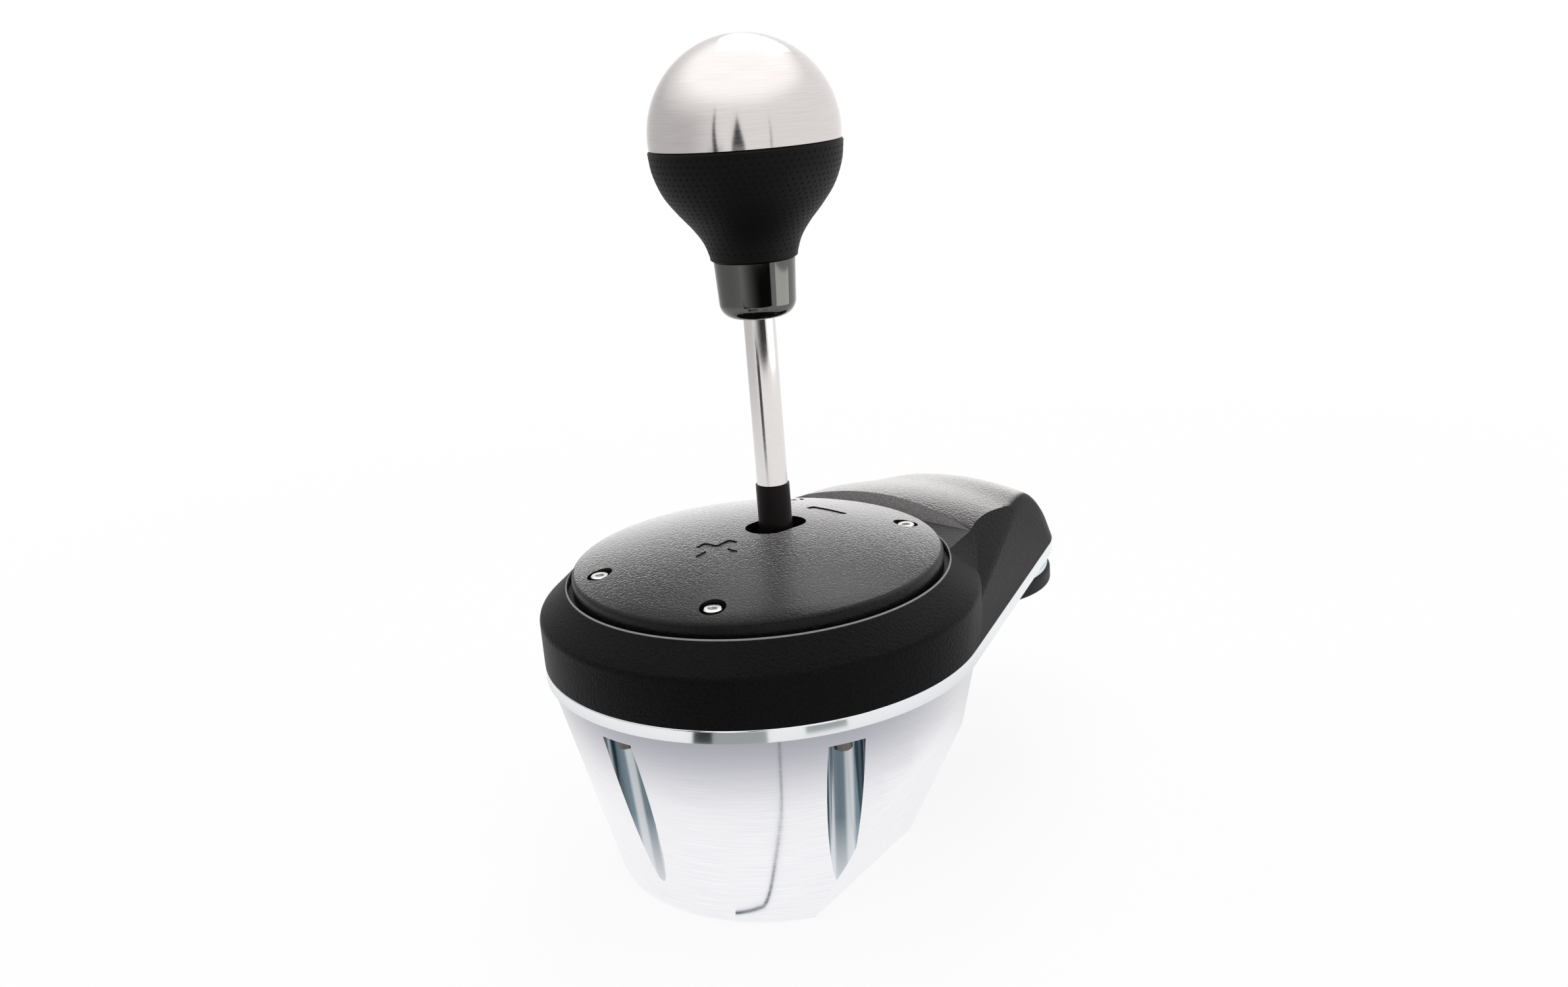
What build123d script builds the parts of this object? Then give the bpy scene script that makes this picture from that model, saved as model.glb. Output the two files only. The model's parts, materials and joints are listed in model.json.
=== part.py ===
from build123d import *
from math import atan2, cos, degrees, radians, sin, sqrt, tan
import os

os.makedirs("parts", exist_ok=True)

# Sequential gear shifter for a driving rig. Millimetres, +Z up.
# X is across, +Y runs back along the tail, and the driver sits at -Y.
# The origin is on the round housing's axis, in the flat bottom face of the bowl.

# General
overrun = 40.0                 # how far a cutting tool runs past what it cuts
close_gap = 0.05               # between pieces that seat in each other
running_gap = 0.05             # shaft in a bush, on the radius
moving_gap = 0.3               # between pieces that slide past each other
screw_gap = 0.2                # screw shank in a clearance hole, on the radius

# Bowl, a cast cone with flat sides and a flat back
bowl_bottom_radius = 45.3
bowl_top_inset = 0.8           # the bowl's top lies this far inside the drum
bowl_wall = 3.0
flange_bottom = 58.8
flange_thickness = 3.6
flange_opening_radius = 46.0
rear_wall_place = 23.0         # flat back, which stands against the desk's edge
side_flat_place = 32.1         # side flat's distance from the axis, in the bottom plane
side_flat_yaw = 9.4            # degrees
side_flat_lean = 27.5          # degrees from upright
bowl_bottom_round = 1.5
flange_edge_round = 0.6

# Flutes, the round channels that let a driver reach the housing's screws
flute_radius = 5.0
flute_fade_height = 9.5
flute_roof = 4.2               # metal left between a flute and the flange
flute_top_depth = 6.9
flute_sleeve = 2.4
flute_angles = (-86.0, -26.0, -146.0)

# Housing, a round drum with a tail
housing_radius = 60.0
tail_radius = 27.0
tail_reach = 92.0              # from the drum's axis to the tail's round end
housing_wall = 2.6
band_height = 12.9
rim_height = 86.0              # where the plate's dome meets its rounded edge
rim_drop = 3.5                 # the housing's lip lies this far under that edge
inner_shoulder_drop = 1.1
shoulder_round = 2.5
tail_draft = 17.7              # degrees
roof_height = 87.3             # of the tail's roof at its front edge
roof_overhang = 0.6            # the roof's line runs this far past the tail's end
roof_along_shares = (0.0, 0.119, 0.269, 0.418, 0.567, 0.716, 0.836, 0.925, 1.0)
roof_height_shares = (1.0, 0.996, 0.948, 0.88, 0.835, 0.679, 0.365, 0.185, 0.048)
roof_camber_radius = 112.0     # across
hump_front_foot = 52.6         # front slope of the hump, along Y
hump_front_top = 54.7
tail_edge_round = 5.0          # where the roof and the side facets meet the tail's side
side_facet_shares = (1.093, 0.309, 1.0)
side_facet_height = 134.1      # where the side facet's plane crosses the axis

# Plate
plate_radius = 50.3
plate_gap = 1.6
plate_edge_round = 1.6
plate_rise = 6.0
plate_thickness = 3.0
plate_seat_depth = 6.0         # the flat rim's depth below the dome's edge
plate_hollow_radius = 40.0
seat_width = 12.5
plate_screw_ring = 43.1
plate_screw_angles = (60.0, 120.0, 240.0, 300.0)
plate_pocket_drop = 1.5        # the screws' seats lie this far under the dome's edge
mark_length = 13.0
mark_width = 3.6
mark_depth = 0.5
mark_round = 0.8
plus_offset = 22.6
minus_offset = 20.5

# Stick and slot
stick_place = 8.0              # the stick's axis, along Y
slot_half_width = 6.2
slot_half_length = 9.3
shaft_radius = 4.2
shaft_lower_radius = 3.6
shaft_top = 188.0
sleeve_radius = 4.6
sleeve_top = 103.5

# Knob
knob_radius = 25.0             # at the leather's upper edge
knob_edge_height = 193.5       # of that edge
dome_radius = 24.7
dome_lift = 2.6                # the dome's centre above the leather's edge
knob_skin = 2.0
grip_length = 28.7
grip_drop_shares = (0.0, 0.19, 0.385, 0.547, 0.705, 0.833, 0.951, 1.0)
grip_radius_shares = (1.0, 0.972, 0.888, 0.76, 0.608, 0.512, 0.464, 0.456)
grip_edge_round = 0.4
collar_radius = 10.7
collar_foot_radius = 10.1
collar_length = 15.3
collar_round = 4.2

# Pivot and lower lever
pivot_height = 54.0
hub_radius = 8.5
hub_neck_radius = 6.0
hub_half_width = 12.6
hub_neck_top = 74.0
hub_foot_bottom = 42.0
hub_foot_radius = 5.2
shaft_depth = 15.0             # how far the shaft goes down into the hub
pin_radius = 3.0
pin_half_length = 21.4
clip_groove_depth = 0.5
clip_radius = 5.0
clip_thickness = 1.0
clip_place = 19.3
clip_mouth = 3.0
set_screw_height = 66.0
set_screw_radius = 2.0
set_screw_length = 2.2
set_screw_sink = 0.1
tail_rod_radius = 3.0
tail_rod_top = 49.4
ball_height = 28.0
ball_radius = 4.0
shield_radius = 31.5           # about the pivot
shield_thickness = 1.2
shield_half_length = 14.5
shield_half_width = 9.0
shield_boss_radius = 7.0
shield_boss_bottom = 79.7
shield_boss_top = 84.6

# Chassis
boss_radius = 6.0
boss_top = 16.0
boss_x = 22.0
boss_front = -26.0
boss_back = 10.0
base_bolt_radius = 2.5         # tapped for M6
base_bolt_depth = 9.0
chassis_thickness = 2.5
chassis_half_width = 26.0
chassis_front = -33.0
chassis_back = 19.3
chassis_corner = 4.0
window_half_width = 5.5
window_front = -1.0
window_back = 16.8
cheek_inner = 13.0
cheek_thickness = 5.0
cheek_front = -14.0
cheek_back = 19.0
cheek_base_height = 6.0
cheek_head_radius = 9.5
cheek_hole_radius = 5.5
cheek_hole_y = 4.0
cheek_hole_z = 39.5
cheek_screw_front = -9.0
cheek_screw_back = 16.2
bush_radius = 4.6
bush_flange_radius = 6.4
bush_flange = 1.0

# Shuttle
block_half_width = 10.0
block_half_length = 7.5
block_bottom = 19.0
block_top = 36.0
fork_half_width = 5.5
fork_bottom = 22.0
rod_radius = 2.5
rod_front = -41.6
rod_back = 3.4
rod_washer_back = -36.5
rod_washer_radius = 5.6
rod_washer_thickness = 1.4
rod_nut_radius = 4.6
rod_nut_thickness = 3.0
rail_tip = 8.6
rail_let_in = 1.0
rail_bottom = 24.0
rail_height = 3.0
rail_front = -4.0
rail_back = 18.8
groove_bottom_x = 8.3
bracket_front = -20.0
bracket_thickness = 4.0
bracket_half_width = 12.0
bracket_top = 36.0
bracket_foot = 8.5
bracket_foot_thickness = 2.5
bracket_screw_x = 7.5
bracket_corner = 4.0
rod_bush_radius = 3.8
spring_wire_radius = 0.6
spring_mean_radius = 4.2
spring_turns = 6
spring_end_gap = 0.06

# Sensor
magnet_holder_radius = 4.4
holder_spigot_radius = 2.0
holder_spigot_length = 1.8
magnet_radius = 3.0
magnet_thickness = 2.0
magnet_bottom = 12.6
board_bottom = 9.0
board_thickness = 1.6
board_half_width = 13.0
board_front = -20.0
board_back = 17.0
standoff_radius = 2.4
standoff_places = ((-10.0, -17.0), (10.0, -17.0), (-10.0, 3.0), (10.0, 3.0))
chip_size = 5.0
chip_thickness = 1.2
plug_length = 2.4
plug_height = 1.8
plug_x = -8.5

# Ports, in a bay in the left side
port_face = -38.0
bay_front = -9.0
bay_back = 16.0
bay_bottom = 22.0
bay_top = 36.0
bay_wall = 2.0
port_plate_thickness = 2.0
port_height = 29.0
link_place = -1.0
link_radius = 4.5
link_wall = 0.7
link_depth = 7.0
link_pin_radius = 0.45
link_pin_length = 3.6
link_pin_ring = 2.7
link_pin_angles = (30.0, 90.0, 150.0, 210.0, 330.0)
usb_place = 10.0
usb_half_width = 4.5
usb_half_height = 1.65
usb_wall = 0.5
usb_depth = 6.5
usb_tongue_half_width = 3.35
usb_tongue_thickness = 0.7
usb_tongue_length = 4.8
usb_corner = 1.6
port_body_length = 8.5
port_board_thickness = 1.6
port_screw_places = ((-7.0, 34.0), (14.0, 24.0))
flex_thickness = 0.4
flex_width = 8.0
flex_place = -5.0
flex_bend = 2.5
flex_top = 26.0
flex_end_x = -10.95

# Foot under the tail
foot_radius = 25.4
foot_step_depth = 1.2
foot_rib_shares = (0.0, 0.3, 0.38, 0.62, 0.7, 1.0)
foot_height = 4.8
pad_radius = 26.2
pad_thickness = 5.0
pad_hole_radius = 8.0
pad_round = 1.0
foot_spigot_radius = 8.0
foot_spigot_share = 0.3052     # of the roof's height over the flange
clamp_thread_radius = 3.4      # tapped for M8
clamp_thread_end = 2.0         # metal left over the thread
foot_screw_ring = 17.0
foot_screw_angles = (90.0, 210.0, 330.0)

# Screws: head radius, head height, shank radius, driver recess radius
m3_screw = (2.4, 2.6, 1.5, 1.35)
m4_screw = (3.4, 2.6, 2.0, 1.7)
m2_screw = (1.8, 1.4, 1.0, 0.9)
m3_pocket_radius = 3.4
recess_share = 0.55            # driver recess, as a share of the head's height
plate_screw_length = 8.4
housing_screw_length = 12.0
chassis_screw_length = 7.0
cheek_screw_length = 9.0
bracket_screw_length = 4.8
foot_screw_length = 7.4
board_screw_length = 4.6
port_screw_length = 3.8
housing_screw_inset = 5.0      # from the drum's side to the screws
rear_screw_x = 32.0
rear_screw_y = 42.0
screw_boss_radius = 3.6
screw_boss_height = 11.0
plate_boss_depth = 3.4
thread_end_gap = 0.3
tension_screw_radius = 3.0
tension_head_radius = 4.2
tension_head_height = 1.9
tension_slot = 1.2
tension_slot_depth = 1.0
tension_boss_radius = 7.0
tension_boss_depth = 3.0
tension_tip = 18.2
shoe_radius = 4.6
shoe_pocket_depth = 1.2

# Worked out from the sizes above
bowl_top_radius = housing_radius - bowl_top_inset
housing_screw_ring = housing_radius - housing_screw_inset
roof_run = tail_reach + tail_radius + roof_overhang - hump_front_foot
flute_top = flange_bottom - flute_roof
flange_top = flange_bottom + flange_thickness
band_top = flange_top + band_height
lip_height = rim_height - rim_drop
lip_radius = plate_radius + plate_gap
seat_height = rim_height - plate_seat_depth
plate_pocket_floor = rim_height - plate_pocket_drop
plate_dome_edge = plate_radius - plate_edge_round
plate_dome_radius = (plate_dome_edge**2 + plate_rise**2) / (2 * plate_rise)
plate_top = rim_height + plate_rise
chassis_top = boss_top + chassis_thickness
cheek_outer = cheek_inner + cheek_thickness
cheek_middle = cheek_inner + cheek_thickness / 2
block_front = stick_place - block_half_length
bracket_back = bracket_front + bracket_thickness
shaft_bottom = hub_neck_top - shaft_depth
board_top = board_bottom + board_thickness
foot_bottom = flange_bottom - foot_height
pad_bottom = foot_bottom - pad_thickness
foot_spigot_top = flange_top + foot_spigot_share * (roof_height - flange_top)
clamp_thread_depth = foot_spigot_top - clamp_thread_end - foot_bottom
port_plate_back = port_face + port_plate_thickness
port_floor_back = port_plate_back + bay_wall
port_body_back = port_face + port_body_length
port_board_front = port_body_back + close_gap
port_board_back = port_board_front + port_board_thickness
inner_wall_y = rear_wall_place - bowl_wall
taper_angle = atan2(bowl_top_radius - bowl_bottom_radius, flange_bottom)
flute_top_radius = bowl_top_radius - flute_top_depth + flute_radius
flute_foot_radius = bowl_bottom_radius + flute_fade_height * tan(taper_angle) + flute_radius
flute_lean = degrees(atan2(flute_top_radius - flute_foot_radius, flange_bottom - flute_fade_height))
wide = 4 * housing_radius


def ring_spots(radius, angles, centre_y=0):
    """Places on a circle."""
    return [(radius * cos(radians(a)), centre_y + radius * sin(radians(a))) for a in angles]


def facing_down(height):
    """Plane at that height that faces down; its own Y runs to the front."""
    return Plane(origin=(0, 0, height), x_dir=(1, 0, 0), z_dir=(0, 0, -1))


def flipped(spots):
    """The same places, for a plane that faces down."""
    return [(x, -y) for x, y in spots]


def screws(seat, spots, size, length):
    """Socket screws whose heads stand on the seat plane, with shanks that run back through it."""
    head_radius, head_height, shank_radius, recess_radius = size
    with BuildPart() as group:
        with BuildSketch(seat):
            with Locations(*spots):
                Circle(head_radius)
        extrude(amount=head_height)
        with BuildSketch(seat):
            with Locations(*spots):
                Circle(shank_radius)
        extrude(amount=-length)
        with BuildSketch(seat.offset(head_height)):
            with Locations(*spots):
                RegularPolygon(recess_radius, 6)
        extrude(amount=-head_height * recess_share, mode=Mode.SUBTRACT)
    return group.part


def teardrop(inset, height):
    """Outline of drum and tail, drawn in by the inset, at that height."""
    with BuildSketch(Plane.XY.offset(height)) as outline:
        Circle(housing_radius - inset)
        with Locations((0, tail_reach)):
            Circle(tail_radius - inset)
        make_hull()
    return outline.sketch


def side_flat(side, inset):
    """Plane of one flat side of the bowl; its normal points out and a little down."""
    yaw = radians(side_flat_yaw)
    lean = radians(side_flat_lean)
    outward = Vector(side * cos(yaw) * cos(lean), sin(yaw) * cos(lean), -sin(lean))
    foot = Vector(side * cos(yaw), sin(yaw), 0) * side_flat_place
    return Plane(origin=foot - outward * inset, z_dir=outward)


def bowl_form(inset):
    """The bowl's outer shape as a solid, or its hollow when drawn in by the wall."""
    draw_in = inset / cos(taper_angle)
    with BuildPart() as form:
        with BuildSketch(Plane.XZ):
            with BuildLine():
                Polyline(
                    (0, 0),
                    (bowl_bottom_radius - draw_in, 0),
                    (bowl_top_radius - draw_in, flange_bottom),
                    (0, flange_bottom),
                    close=True,
                )
            make_face()
        revolve(axis=Axis.Z)
        for side in (1, -1):
            with BuildSketch(side_flat(side, inset)):
                Rectangle(wide, wide)
            extrude(amount=overrun, mode=Mode.SUBTRACT)
        with BuildSketch(Plane.XZ.offset(inset - rear_wall_place)):
            Rectangle(wide, wide)
        extrude(amount=-overrun, mode=Mode.SUBTRACT)
        if inset:
            with BuildSketch(Plane.XY.offset(inset)):
                Rectangle(wide, wide)
            extrude(amount=-overrun, mode=Mode.SUBTRACT)
    return form.part


def flute_bars(radius, top):
    """Leaning round bars, one for each flute, cut off flat at the top."""
    with BuildPart() as bars:
        for angle in flute_angles:
            turned = Rotation(0, 0, angle)
            foot = Plane(turned * Location((flute_foot_radius, 0, flute_fade_height), (0, flute_lean, 0)))
            with BuildSketch(foot.offset(-flange_bottom)):
                Circle(radius)
            extrude(amount=2 * flange_bottom)
        with BuildSketch(Plane.XY.offset(top)):
            Rectangle(wide, wide)
        extrude(amount=2 * overrun, mode=Mode.SUBTRACT)
    return bars.part


def drum_form(inset):
    """The round drum with its sloping shoulder, or its hollow."""
    top_height = seat_height - inset if inset else lip_height
    shoulder_height = band_top - inner_shoulder_drop if inset else band_top
    with BuildPart() as form:
        with BuildSketch(Plane.XZ):
            with BuildLine():
                Polyline(
                    (0, flange_top),
                    (housing_radius - inset, flange_top),
                    (housing_radius - inset, shoulder_height),
                    (lip_radius, top_height),
                    (0, top_height),
                    close=True,
                )
            make_face()
        revolve(axis=Axis.Z)
        if not inset:
            fillet(form.edges().filter_by(GeomType.CIRCLE).group_by(Axis.Z)[1], radius=shoulder_round)
    return form.part


def tail_form(inset):
    """The humped tail behind the drum, or its hollow."""
    step_height = seat_height - inset if inset else lip_height
    roof_rise = roof_height - flange_top
    camber_centre = roof_height - roof_camber_radius
    profile = [
        (hump_front_foot + roof_run * along, flange_top + roof_rise * up - inset)
        for along, up in zip(roof_along_shares, roof_height_shares)
    ]
    with BuildPart() as below_roof:
        with BuildSketch(Plane.YZ):
            with BuildLine():
                Spline(*profile)
                Polyline(
                    profile[-1],
                    (profile[-1][0], camber_centre),
                    (profile[0][0], camber_centre),
                    profile[0],
                )
            make_face()
        revolve(axis=Axis((0, 0, camber_centre), (0, 1, 0)))
    with BuildPart() as above_roof:
        with Locations((0, hump_front_foot, flange_top - overrun)):
            Box(wide, wide, wide, align=(Align.CENTER, Align.MIN, Align.MIN))
        add(below_roof.part, mode=Mode.SUBTRACT)
    with BuildPart() as form:
        add(teardrop(inset, flange_top))
        extrude(amount=roof_height + moving_gap - flange_top, taper=tail_draft)
        add(above_roof.part, mode=Mode.SUBTRACT)
        for side in (1, -1):
            across, along, up = side_facet_shares
            normal = Vector(side * across, along, up).normalized()
            with BuildSketch(Plane(origin=Vector(0, 0, side_facet_height) - normal * inset, z_dir=normal)):
                Rectangle(2 * wide, 2 * wide)
            extrude(amount=2 * overrun, mode=Mode.SUBTRACT)
        with BuildSketch(Plane.YZ.offset(-wide)):
            with BuildLine():
                Polyline(
                    (hump_front_foot + inset, step_height),
                    (hump_front_top + inset, roof_height),
                    (hump_front_top + inset, roof_height + overrun),
                    (-wide, roof_height + overrun),
                    (-wide, step_height),
                    close=True,
                )
            make_face()
        extrude(amount=2 * wide, mode=Mode.SUBTRACT)
        with BuildSketch(Plane.XZ):
            Rectangle(2 * wide, 2 * wide)
        extrude(amount=wide, mode=Mode.SUBTRACT)
        if not inset:
            sides = form.edges().filter_by_position(Axis.Z, flange_top + close_gap, step_height - close_gap)
            side_creases = sides.filter_by(GeomType.LINE).sort_by(SortBy.LENGTH)[-2:]
            rounded = side_creases + [sides.sort_by(Axis.Y)[-1]]
            widest_round = form.part.max_fillet(rounded, tolerance=close_gap, max_iterations=20)
            fillet(rounded, radius=min(tail_edge_round, widest_round))
    return form.part


base_spots = [(x, y) for x in (-boss_x, boss_x) for y in (boss_front, boss_back)]
plate_screw_spots = ring_spots(plate_screw_ring, plate_screw_angles)
flute_screw_spots = ring_spots(housing_screw_ring, flute_angles)
rear_screw_spots = [(-rear_screw_x, rear_screw_y), (rear_screw_x, rear_screw_y)]
housing_screw_spots = flute_screw_spots + rear_screw_spots
foot_screw_spots = ring_spots(foot_screw_ring, foot_screw_angles, tail_reach)
cheek_screw_spots = [
    (x, y) for x in (-cheek_middle, cheek_middle) for y in (cheek_screw_front, cheek_screw_back)
]
bracket_screw_y = bracket_front - bracket_foot / 2
bracket_screw_spots = [(-bracket_screw_x, bracket_screw_y), (bracket_screw_x, bracket_screw_y)]

# Bowl and flange, one aluminium casting
inner_bowl = bowl_form(bowl_wall)

with BuildPart() as flute_sleeves:
    add(flute_bars(flute_radius + flute_sleeve, flange_bottom))
    add(inner_bowl, mode=Mode.INTERSECT)

bay_middle_y = (bay_front + bay_back) / 2
bay_middle_z = (bay_bottom + bay_top) / 2
bay_width = bay_back - bay_front
bay_height = bay_top - bay_bottom

with BuildPart() as bay_lining:
    with Locations((port_floor_back, bay_middle_y, bay_middle_z)):
        Box(
            overrun,
            bay_width + 2 * bay_wall,
            bay_height + 2 * bay_wall,
            align=(Align.MAX, Align.CENTER, Align.CENTER),
        )
    add(inner_bowl, mode=Mode.INTERSECT)

with BuildPart() as body_shell:
    add(bowl_form(0))
    fillet(body_shell.faces().sort_by(Axis.Z)[0].edges(), radius=bowl_bottom_round)
    add(teardrop(0, flange_bottom))
    extrude(amount=flange_thickness)
    fillet(body_shell.faces().sort_by(Axis.Z)[-1].edges(), radius=flange_edge_round)
    add(inner_bowl, mode=Mode.SUBTRACT)
    add(flute_sleeves.part)
    add(bay_lining.part)
    with BuildSketch(Plane.XY.offset(bowl_wall)):
        with Locations(*base_spots):
            Circle(boss_radius)
    extrude(amount=boss_top - bowl_wall)
    with BuildSketch(Plane.XZ.offset(-inner_wall_y)):
        with Locations((0, pivot_height)):
            Circle(tension_boss_radius)
    extrude(amount=tension_boss_depth)
    add(flute_bars(flute_radius, flute_top), mode=Mode.SUBTRACT)
    with Locations((port_plate_back, bay_middle_y, bay_middle_z)):
        Box(
            overrun,
            bay_width,
            bay_height,
            align=(Align.MAX, Align.CENTER, Align.CENTER),
            mode=Mode.SUBTRACT,
        )
    with BuildSketch(Plane.YZ.offset(port_plate_back)):
        with Locations((link_place, port_height)):
            Circle(link_radius + link_wall + screw_gap)
        with Locations((usb_place, port_height)):
            Rectangle(
                2 * (usb_half_width + usb_wall + screw_gap),
                2 * (usb_half_height + usb_wall + screw_gap),
            )
        with Locations(*port_screw_places):
            Circle(m2_screw[2] + close_gap)
    extrude(amount=bay_wall, mode=Mode.SUBTRACT)
    with BuildSketch(Plane.XY.offset(flange_bottom)):
        Circle(flange_opening_radius)
        with Locations((0, inner_wall_y)):
            Rectangle(wide, wide, align=(Align.CENTER, Align.MIN), mode=Mode.SUBTRACT)
    extrude(amount=flange_thickness, mode=Mode.SUBTRACT)
    with BuildSketch(Plane.XY.offset(flange_bottom)):
        with Locations(*housing_screw_spots, *foot_screw_spots):
            Circle(m3_screw[2] + screw_gap)
        with Locations((0, tail_reach)):
            Circle(foot_spigot_radius + close_gap)
    extrude(amount=flange_thickness, mode=Mode.SUBTRACT)
    with BuildSketch(Plane.XY.offset(flute_top)):
        with Locations(*flute_screw_spots):
            Circle(m3_screw[2] + screw_gap)
    extrude(amount=flute_roof, mode=Mode.SUBTRACT)
    with BuildSketch(Plane.XY):
        with Locations(*base_spots):
            Circle(base_bolt_radius)
    extrude(amount=base_bolt_depth, mode=Mode.SUBTRACT)
    with BuildSketch(Plane.XY.offset(boss_top)):
        with Locations(*base_spots):
            Circle(m4_screw[2] + close_gap)
    extrude(amount=chassis_thickness - chassis_screw_length - thread_end_gap, mode=Mode.SUBTRACT)
    with BuildSketch(Plane.XZ.offset(-rear_wall_place)):
        with Locations((0, pivot_height)):
            Circle(tension_head_radius + moving_gap)
    extrude(amount=tension_head_height + moving_gap, mode=Mode.SUBTRACT)
    with BuildSketch(Plane.XZ.offset(-rear_wall_place)):
        with Locations((0, pivot_height)):
            Circle(tension_screw_radius + running_gap)
    extrude(amount=bowl_wall + tension_boss_depth, mode=Mode.SUBTRACT)
    with BuildSketch(Plane.XZ.offset(tension_boss_depth - inner_wall_y)):
        with Locations((0, pivot_height)):
            Circle(shoe_radius + close_gap)
    extrude(amount=-shoe_pocket_depth, mode=Mode.SUBTRACT)
body_shell.part.label = "body_shell"
export_step(body_shell.part, "parts/body_shell.step")

# Moulded housing
with BuildPart() as top_housing:
    add(drum_form(0))
    add(tail_form(0))
    with BuildSketch(Plane.XY.offset(seat_height)):
        Circle(lip_radius)
    extrude(amount=overrun, mode=Mode.SUBTRACT)
    add(drum_form(housing_wall), mode=Mode.SUBTRACT)
    add(tail_form(housing_wall), mode=Mode.SUBTRACT)
    with BuildSketch(Plane.XY.offset(flange_top)):
        with Locations(*flute_screw_spots):
            Circle(screw_boss_radius)
    extrude(amount=screw_boss_height)
    with BuildSketch(Plane.XY.offset(flange_top)):
        with Locations(*rear_screw_spots):
            Circle(screw_boss_radius)
    extrude(amount=seat_height - housing_wall - flange_top)
    with BuildSketch(Plane.XY.offset(seat_height - housing_wall)):
        with Locations(*plate_screw_spots):
            Circle(screw_boss_radius)
    extrude(amount=-plate_boss_depth)
    with BuildSketch(Plane.XY.offset(seat_height - housing_wall)):
        Circle(lip_radius - seat_width)
    extrude(amount=overrun, mode=Mode.SUBTRACT)
    with BuildSketch(Plane.XY.offset(flange_top)):
        with Locations(*housing_screw_spots):
            Circle(m3_screw[2] + close_gap)
    extrude(
        amount=housing_screw_length - flange_thickness + thread_end_gap,
        mode=Mode.SUBTRACT,
    )
    with BuildSketch(Plane.XY.offset(seat_height)):
        with Locations(*plate_screw_spots):
            Circle(m3_screw[2] + close_gap)
    extrude(
        amount=plate_pocket_floor - seat_height - plate_screw_length - thread_end_gap,
        mode=Mode.SUBTRACT,
    )
top_housing.part.label = "top_housing"
export_step(top_housing.part, "parts/top_housing.step")

flute_screw_length = housing_screw_length + flute_roof
with BuildPart() as housing_screw_set:
    add(screws(facing_down(flute_top), flipped(flute_screw_spots), m3_screw, flute_screw_length))
    add(screws(facing_down(flange_bottom), flipped(rear_screw_spots), m3_screw, housing_screw_length))
housing_screws = housing_screw_set.part
housing_screws.label = "housing_screws"
export_step(housing_screws, "parts/housing_screws.step")

# Plate
with BuildPart() as mark_tool:
    with BuildSketch(Plane.XY.offset(seat_height)) as marks:
        with Locations((0, stick_place - plus_offset)):
            Rectangle(mark_length, mark_width)
            Rectangle(mark_width, mark_length)
        with Locations((0, stick_place + minus_offset)):
            Rectangle(mark_length, mark_width)
        fillet(marks.vertices(), radius=mark_round)
    extrude(amount=overrun)
    with Locations((0, 0, plate_top - plate_dome_radius)):
        Sphere(plate_dome_radius - mark_depth, mode=Mode.SUBTRACT)

with BuildPart() as plate_hollow:
    with BuildSketch(Plane.XY.offset(seat_height)):
        Circle(plate_hollow_radius)
    extrude(amount=overrun)
    with Locations((0, 0, plate_top - plate_dome_radius)):
        Sphere(plate_dome_radius - plate_thickness, mode=Mode.INTERSECT)


def dome_height(radius):
    """Height of the plate's dome at that distance from the axis."""
    return plate_top - plate_dome_radius + sqrt(plate_dome_radius**2 - radius**2)


with BuildPart() as shift_plate:
    with BuildSketch(Plane.XZ) as section:
        with BuildLine():
            Polyline(
                (0, plate_top),
                (0, seat_height),
                (plate_radius, seat_height),
                (plate_radius, dome_height(plate_radius)),
            )
            ThreePointArc(
                (plate_radius, dome_height(plate_radius)),
                (plate_radius / 2, dome_height(plate_radius / 2)),
                (0, plate_top),
            )
        make_face()
        fillet(section.vertices().group_by(Axis.X)[-1].sort_by(Axis.Y)[-1], radius=plate_edge_round)
    revolve(axis=Axis.Z)
    add(plate_hollow.part, mode=Mode.SUBTRACT)
    with BuildSketch(Plane.XY.offset(seat_height)):
        with Locations((0, stick_place)):
            SlotOverall(2 * slot_half_length, 2 * slot_half_width, rotation=90)
    extrude(amount=overrun, mode=Mode.SUBTRACT)
    add(mark_tool.part, mode=Mode.SUBTRACT)
    with BuildSketch(Plane.XY.offset(plate_pocket_floor)):
        with Locations(*plate_screw_spots):
            Circle(m3_pocket_radius)
    extrude(amount=overrun, mode=Mode.SUBTRACT)
    with BuildSketch(Plane.XY.offset(seat_height)):
        with Locations(*plate_screw_spots):
            Circle(m3_screw[2] + screw_gap)
    extrude(amount=overrun, mode=Mode.SUBTRACT)
shift_plate.part.label = "shift_plate"
export_step(shift_plate.part, "parts/shift_plate.step")

plate_screws = screws(
    Plane.XY.offset(plate_pocket_floor), plate_screw_spots, m3_screw, plate_screw_length
)
plate_screws.label = "plate_screws"
export_step(plate_screws, "parts/plate_screws.step")

# Knob
grip_bottom = knob_edge_height - grip_length
collar_bottom = grip_bottom - collar_length
dome_centre = knob_edge_height + dome_lift
stick_shift = Location((0, stick_place, 0))


def grip_points(inset):
    """Side of the grip from its upper edge down, drawn in by the inset."""
    return [
        (knob_radius * across - inset, knob_edge_height - grip_length * down)
        for across, down in zip(grip_radius_shares, grip_drop_shares)
    ]


with BuildPart() as knob_grip:
    with BuildSketch(Plane.XZ):
        with BuildLine():
            outside = grip_points(0)
            inside = grip_points(knob_skin)
            Spline(*outside)
            Line(outside[-1], inside[-1])
            Spline(*inside)
            Line(inside[0], outside[0])
        make_face()
    revolve(axis=Axis.Z)
    rim_edges = knob_grip.edges().filter_by(GeomType.CIRCLE).group_by(Axis.Z)[-1]
    fillet(rim_edges.sort_by(SortBy.RADIUS)[-1], radius=grip_edge_round)
knob_grip_piece = knob_grip.part.moved(stick_shift)
knob_grip_piece.label = "knob_grip"
export_step(knob_grip_piece, "parts/knob_grip.step")

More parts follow.
